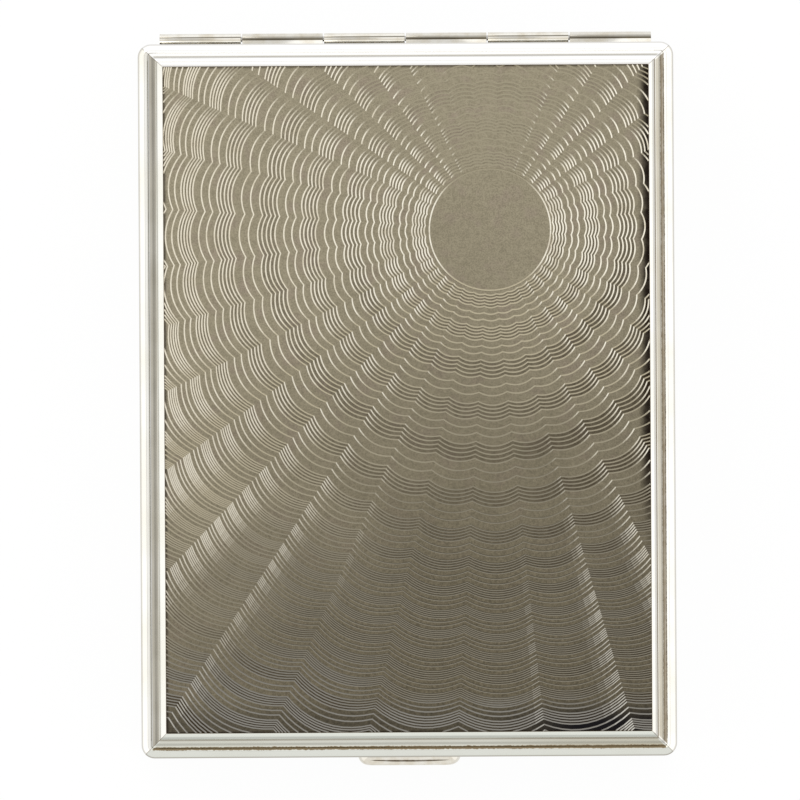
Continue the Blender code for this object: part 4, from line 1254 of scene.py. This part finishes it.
# The torsion spring: a leg that ends on the arm, three turns round the pin, and a leg that ends on
# the bracket's foot. Each leg is a tangent to the coil.
def makeArmSpring(half, body, side, word, material):
    lift = arm["seat"] + arm["sheet"] + case["seat"] + arm["wire"] - arm["pivot"]
    ends = np.array([(-arm["legs"][0], lift), (arm["legs"][1], lift)])
    away = np.arccos(arm["coil"] / np.hypot(ends[:, 0], ends[:, 1])) * (1, -1)
    start, stop = np.arctan2(ends[:, 1], ends[:, 0]) + away
    stop += 2 * math.pi * (arm["turns"] - (stop > start))
    share = np.linspace(0, 1, 40 * arm["turns"])
    angle = start + (stop - start) * share
    across = np.concatenate([ends[:1, 0], arm["coil"] * np.cos(angle), ends[1:, 0]])
    up = np.concatenate([ends[:1, 1], arm["coil"] * np.sin(angle), ends[1:, 1]])
    share = np.concatenate([[0], share, [1]])
    x = side * (arm["coilStart"] - arm["coilLength"] * share)
    path = placed("XYZ", x, arm["y"] + across, level(half, arm["pivot"] + up))
    node = half + "_arm_spring_" + word
    piece = wire(node + "_coil", path, arm["wire"], (1, 0, 0))
    coilFront = (0, arm["y"] - arm["coil"] - arm["wire"], arm["pivot"])
    legEnd = (0, arm["y"] - arm["legs"][0] + 2 * arm["wire"], arm["pivot"])
    return finish(piece, [material], (half, body, coilFront, legEnd), node, 50)


strapMaterials = [metal("gilt strap", giltStrap), metal("gilt edge", giltEdgeWithPaintedShade)]
armBodies = {"base": "lower_arm", "lid": "upper_arm"}
for half, body in armBodies.items():
    makeArm(half, body, strapMaterials)
for half, body in armBodies.items():
    for side, word in ((-1, "left"), (1, "right")):
        makeArmBracket(half, side, word, strapMaterials)
        makeArmPin(half, side, word, steelMaterial)
        makeArmSpring(half, body, side, word, steelMaterial)
print("arms done")


# Behind the catch: the channel that carries the spring, the spring itself, and the lid's keeper,
# each on its rivets
fittings = {
    "channel": [(9.35, 4.4), (9.35, 1.15), (13.95, 1.15), (13.95, 1.55), (9.75, 1.55), (9.75, 4.8)],
    "channelEase": (0.25, 0.6, 0.05, 0.05, 0.25, 0.7),
    "channelHeight": 4.2 * mm,
    "tabCorner": 1.1 * mm,
    "rivetX": 11.85 * mm,
    "keeper": [(1.15, 11.0), (2.0, 11.0), (2.0, 11.5), (1.55, 11.5), (1.55, 15.2), (1.15, 15.2)],
    "keeperEase": (0.35, 0.15, 0.15, 0.22, 0.08, 0.08),
    "keeperHalf": 6.5 * mm,
    "keeperRivet": (4.5 * mm, 13.8 * mm),
    "bore": 0.5 * mm,
    "rivet": 0.4 * mm,
    "head": (0.9 * mm, 0.45 * mm),
    "underHead": 1.65 * mm,
    "headEdge": 0.96,  # of the head's radius, where it meets the sheet
    "headTurn": 1.35,  # radians of the dome, short of its pole
    "spring": (7.45 * mm, 0.2 * mm, 2.4 * mm),  # half its length, its sheet and its width
    "springMiddle": 3.3 * mm,  # inwards, at the hook's back
    "springEnds": 4.2 * mm,
    "springFlat": 1 * mm,  # half the length by the hook; the point at its end is not used
    "edge": 0.06 * mm,
}


# An outline given in millimetres, whose corners are eased by as many
def drawn(points, ease):
    return eased(np.array(points) * mm, np.array(ease) * mm)


def makeChannel(materials):
    right = fittings["channel"]
    points = right + [(-x, inward) for x, inward in right[::-1]]
    outline = drawn(points, fittings["channelEase"] + fittings["channelEase"][::-1])
    outline[:, 1] = front(outline[:, 1])
    half = fittings["channelHeight"] / 2
    piece = prism("catch_channel", outline, "XYZ", button["z"] - half, button["z"] + half)
    tab = right[2][0] * mm
    frame = roundedRectangle(tab, half, fittings["tabCorner"]) + (0, button["z"])
    ends = front(0), front(right[-1][1] * mm + case["overrun"])
    combine(piece, prism("tabs", frame, "XZY", *ends), "INTERSECT")
    ends = front(right[1][1] * mm), front(right[3][1] * mm)
    for side in (-1, 1):
        bore(piece, (side * fittings["rivetX"], button["z"]), ends, "XZY", fittings["bore"])
    easeEdges(piece, fittings["edge"], materials)
    return finish(piece, materials, "base", "catch_bracket")


def makeKeeper(materials):
    outline = drawn(fittings["keeper"], fittings["keeperEase"])
    outline[:, 0] = front(outline[:, 0])
    half = fittings["keeperHalf"]
    piece = prism("keeper_plate", outline, "YZX", -half, half)
    top = fittings["keeper"][-1][1] * mm
    frame = roundedRectangle(half, half, fittings["tabCorner"]) + (0, top - half)
    combine(piece, prism("corners", frame, "XZY", front(0), front(half)), "INTERSECT")
    across, up = fittings["keeperRivet"]
    ends = front(fittings["keeper"][0][0] * mm), front(fittings["keeper"][3][0] * mm)
    for side in (-1, 1):
        bore(piece, (side * across, up), ends, "XZY", fittings["bore"])
    easeEdges(piece, fittings["edge"], materials)
    return finish(piece, materials, "lid", "catch_keeper")


# One half of the bowed leaf spring. Its end lies in the channel and its middle at the hook's back.
def makeLeafSpring(side, word, material):
    length, sheet, width = fittings["spring"]
    share = np.linspace(0, 1, 31)
    bow = fittings["springMiddle"] + (fittings["springEnds"] - fittings["springMiddle"]) * share**2
    line = np.stack([side * length * share, front(bow)], -1)
    outline = np.concatenate([line - (0, sheet / 2), line[::-1] + (0, sheet / 2)])
    heights = button["z"] - width / 2, button["z"] + width / 2
    piece = prism("catch_leaf_spring_" + word, outline, "XYZ", *heights)
    easeEdges(piece, sheet / 8)
    y = front(fittings["springMiddle"])
    ends = [(side * x, y, button["z"]) for x in (length, fittings["springFlat"])]
    return finish(piece, [material], ("base", "button", *ends), "catch_spring")


def makeRivet(node, body, across, up, material):
    under, (radius, rise) = fittings["underHead"], fittings["head"]
    turn = np.linspace(0, fittings["headTurn"], 12)
    dome = under + rise * np.sin(turn) / np.sin(turn[-1])
    inward = np.concatenate([[lining["inset"], under, under], dome])
    foot = [fittings["rivet"], fittings["rivet"], radius * fittings["headEdge"]]
    radii = np.concatenate([foot, radius * np.cos(turn)])
    piece = turned(node + "_domed", np.stack([front(inward), radii], -1), "XZY", (across, up), 40)
    return finish(piece, [material], body, node)


steelMaterials = [steelMaterial, metal("steel edge", steelEdge)]
makeChannel(steelMaterials)
makeKeeper(steelMaterials)
for side, word in ((-1, "left"), (1, "right")):
    makeLeafSpring(side, word, steelMaterial)
    makeRivet("catch_rivet_" + word, "base", side * fittings["rivetX"], button["z"], steelMaterial)
    across, up = fittings["keeperRivet"]
    makeRivet("keeper_rivet_" + word, "lid", side * across, up, steelMaterial)
print("catch fittings done")


# The floor, which is white to the camera and in reflections, with a little shade, and clear from
# below
ground = {"half": 3, "matt": colour(0.9, 0.9, 0.9), "white": colour(1, 1, 1), "seenWhite": 0.93}


def makeFloor():
    size = ground["half"]
    corners = [(-size, -size, 0), (size, -size, 0), (size, size, 0), (-size, size, 0)]
    mesh = bpy.data.meshes.new("floor")
    mesh.from_pydata(corners, [], [(0, 1, 2, 3)])
    material = bpy.data.materials.new("floor")
    material.use_nodes = True
    tree = material.node_tree
    tree.nodes.clear()
    start = Socket(tree)
    seen = start.add("ShaderNodeLightPath", output="Is Camera Ray")
    for kind in ("Is Glossy Ray", "Is Transmission Ray"):
        seen = seen.highest(start.add("ShaderNodeLightPath", output=kind))
    matt = start.add("ShaderNodeBsdfDiffuse", inputs={"Color": ground["matt"]})
    white = start.add("ShaderNodeEmission", inputs={"Color": ground["white"], "Strength": 1.0})
    top = start.add("ShaderNodeMixShader", inputs={0: seen * ground["seenWhite"], 1: matt, 2: white})
    below = start.add("ShaderNodeNewGeometry", output="Backfacing")
    clear = start.add("ShaderNodeBsdfTransparent")
    shown = start.add("ShaderNodeMixShader", inputs={0: below, 1: top, 2: clear})
    start.add("ShaderNodeOutputMaterial", inputs={"Surface": shown})
    mesh.materials.append(material)
    addToScene("floor", mesh)


studio = {
    "zenith": 0.82,
    "middle": (-0.12, 0.1, 0.988),  # of the dim patch overhead
    "sides": 1.3,  # towards +X and -X
    "back": 1.2,  # towards +Y, high up
    "near": 1.1,  # towards -Y, high up
    "horizonBack": 1.25,
    "horizonNear": 1.08,
    "sideways": (0.46, 0.62),  # share of a direction's level part that is across the case, squared
    "patch": (0.955, 0.985),  # cosines, from the dim patch's edge to its full depth
    "wall": (0.84, 0.9),  # heights at which the bright wall ends
}


# The studio round the case, by direction: a dim patch overhead, a brightness high up that depends
# on the side, and a bright wall low down all round.
def makeWorld():
    world = bpy.data.worlds.new("studio")
    bpy.context.scene.world = world
    world.use_nodes = True
    tree = world.node_tree
    background = tree.nodes["Background"]
    start = Socket(tree)
    direction = start.add("ShaderNodeTexCoord", output="Generated")
    x, y, z = direction.part("X"), direction.part("Y"), abs(direction.part("Z"))
    flat = (x * x + y * y + 0.0001) ** 0.5
    side = (x * x / (flat * flat)).step(*studio["sideways"])
    far = (y / flat).step(-0.9, 0.9)
    ends = studio["near"] + far * (studio["back"] - studio["near"])
    middle = ends + side * (studio["sides"] - ends)
    inputs = {0: direction, 1: studio["middle"]}
    patch = start.add("ShaderNodeVectorMath", {"operation": "DOT_PRODUCT"}, inputs, "Value")
    high = studio["zenith"] + (middle - studio["zenith"]) * (1 - patch.step(*studio["patch"]))
    horizon = studio["horizonNear"] + far * (studio["horizonBack"] - studio["horizonNear"])
    light = high + (horizon - high) * (1 - z.step(*studio["wall"])) * (1 - side)
    seen = start.add("ShaderNodeLightPath", output="Is Camera Ray")
    tree.links.new((seen + (1 - seen) * light).socket, background.inputs["Strength"])
    background.inputs["Color"].default_value = colour(1, 1, 1)


lamp = {"place": (-0.3, 0.45, 0.4), "size": 0.25, "watts": 0.25, "tint": (1, 0.985, 0.95)}


def makeLamp():
    data = bpy.data.lights.new("soft lamp", "AREA")
    data.shape = "SQUARE"
    data.size = lamp["size"]
    data.energy = lamp["watts"]
    data.color = lamp["tint"]
    item = addToScene("soft lamp", data)
    item.location = lamp["place"]
    x, y, z = lamp["place"]
    item.rotation_euler = (math.atan2(math.hypot(x, y), z), 0, math.atan2(-x, y) + math.pi)
    item.visible_camera = False


# The camera looks straight down from far off. Its field is the photograph's 800 pixels at the lid's
# height, and the case's middle lies where it does there, turned by a third of a degree.
camera = {"distance": 3.5, "pixel": 0.14002 * mm, "pixels": 800, "middle": (407.4, 400.0), "turn": -0.33}


def makeCamera():
    data = bpy.data.cameras.new("camera")
    data.sensor_width = 36
    field = camera["pixel"] * camera["pixels"]
    data.lens = data.sensor_width * camera["distance"] / field
    item = addToScene("camera", data)
    turn = math.radians(camera["turn"])
    right = (camera["pixels"] / 2 - camera["middle"][0]) * camera["pixel"]
    up = (camera["middle"][1] - camera["pixels"] / 2) * camera["pixel"]
    x = right * math.cos(turn) - up * math.sin(turn)
    y = right * math.sin(turn) + up * math.cos(turn)
    item.location = (x, y, case["thickness"] + camera["distance"])
    item.rotation_euler = (0, 0, turn)
    bpy.context.scene.camera = item


makeFloor()
makeWorld()
makeLamp()
makeCamera()
bpy.context.scene.view_settings.view_transform = "Standard"
print("stage done")
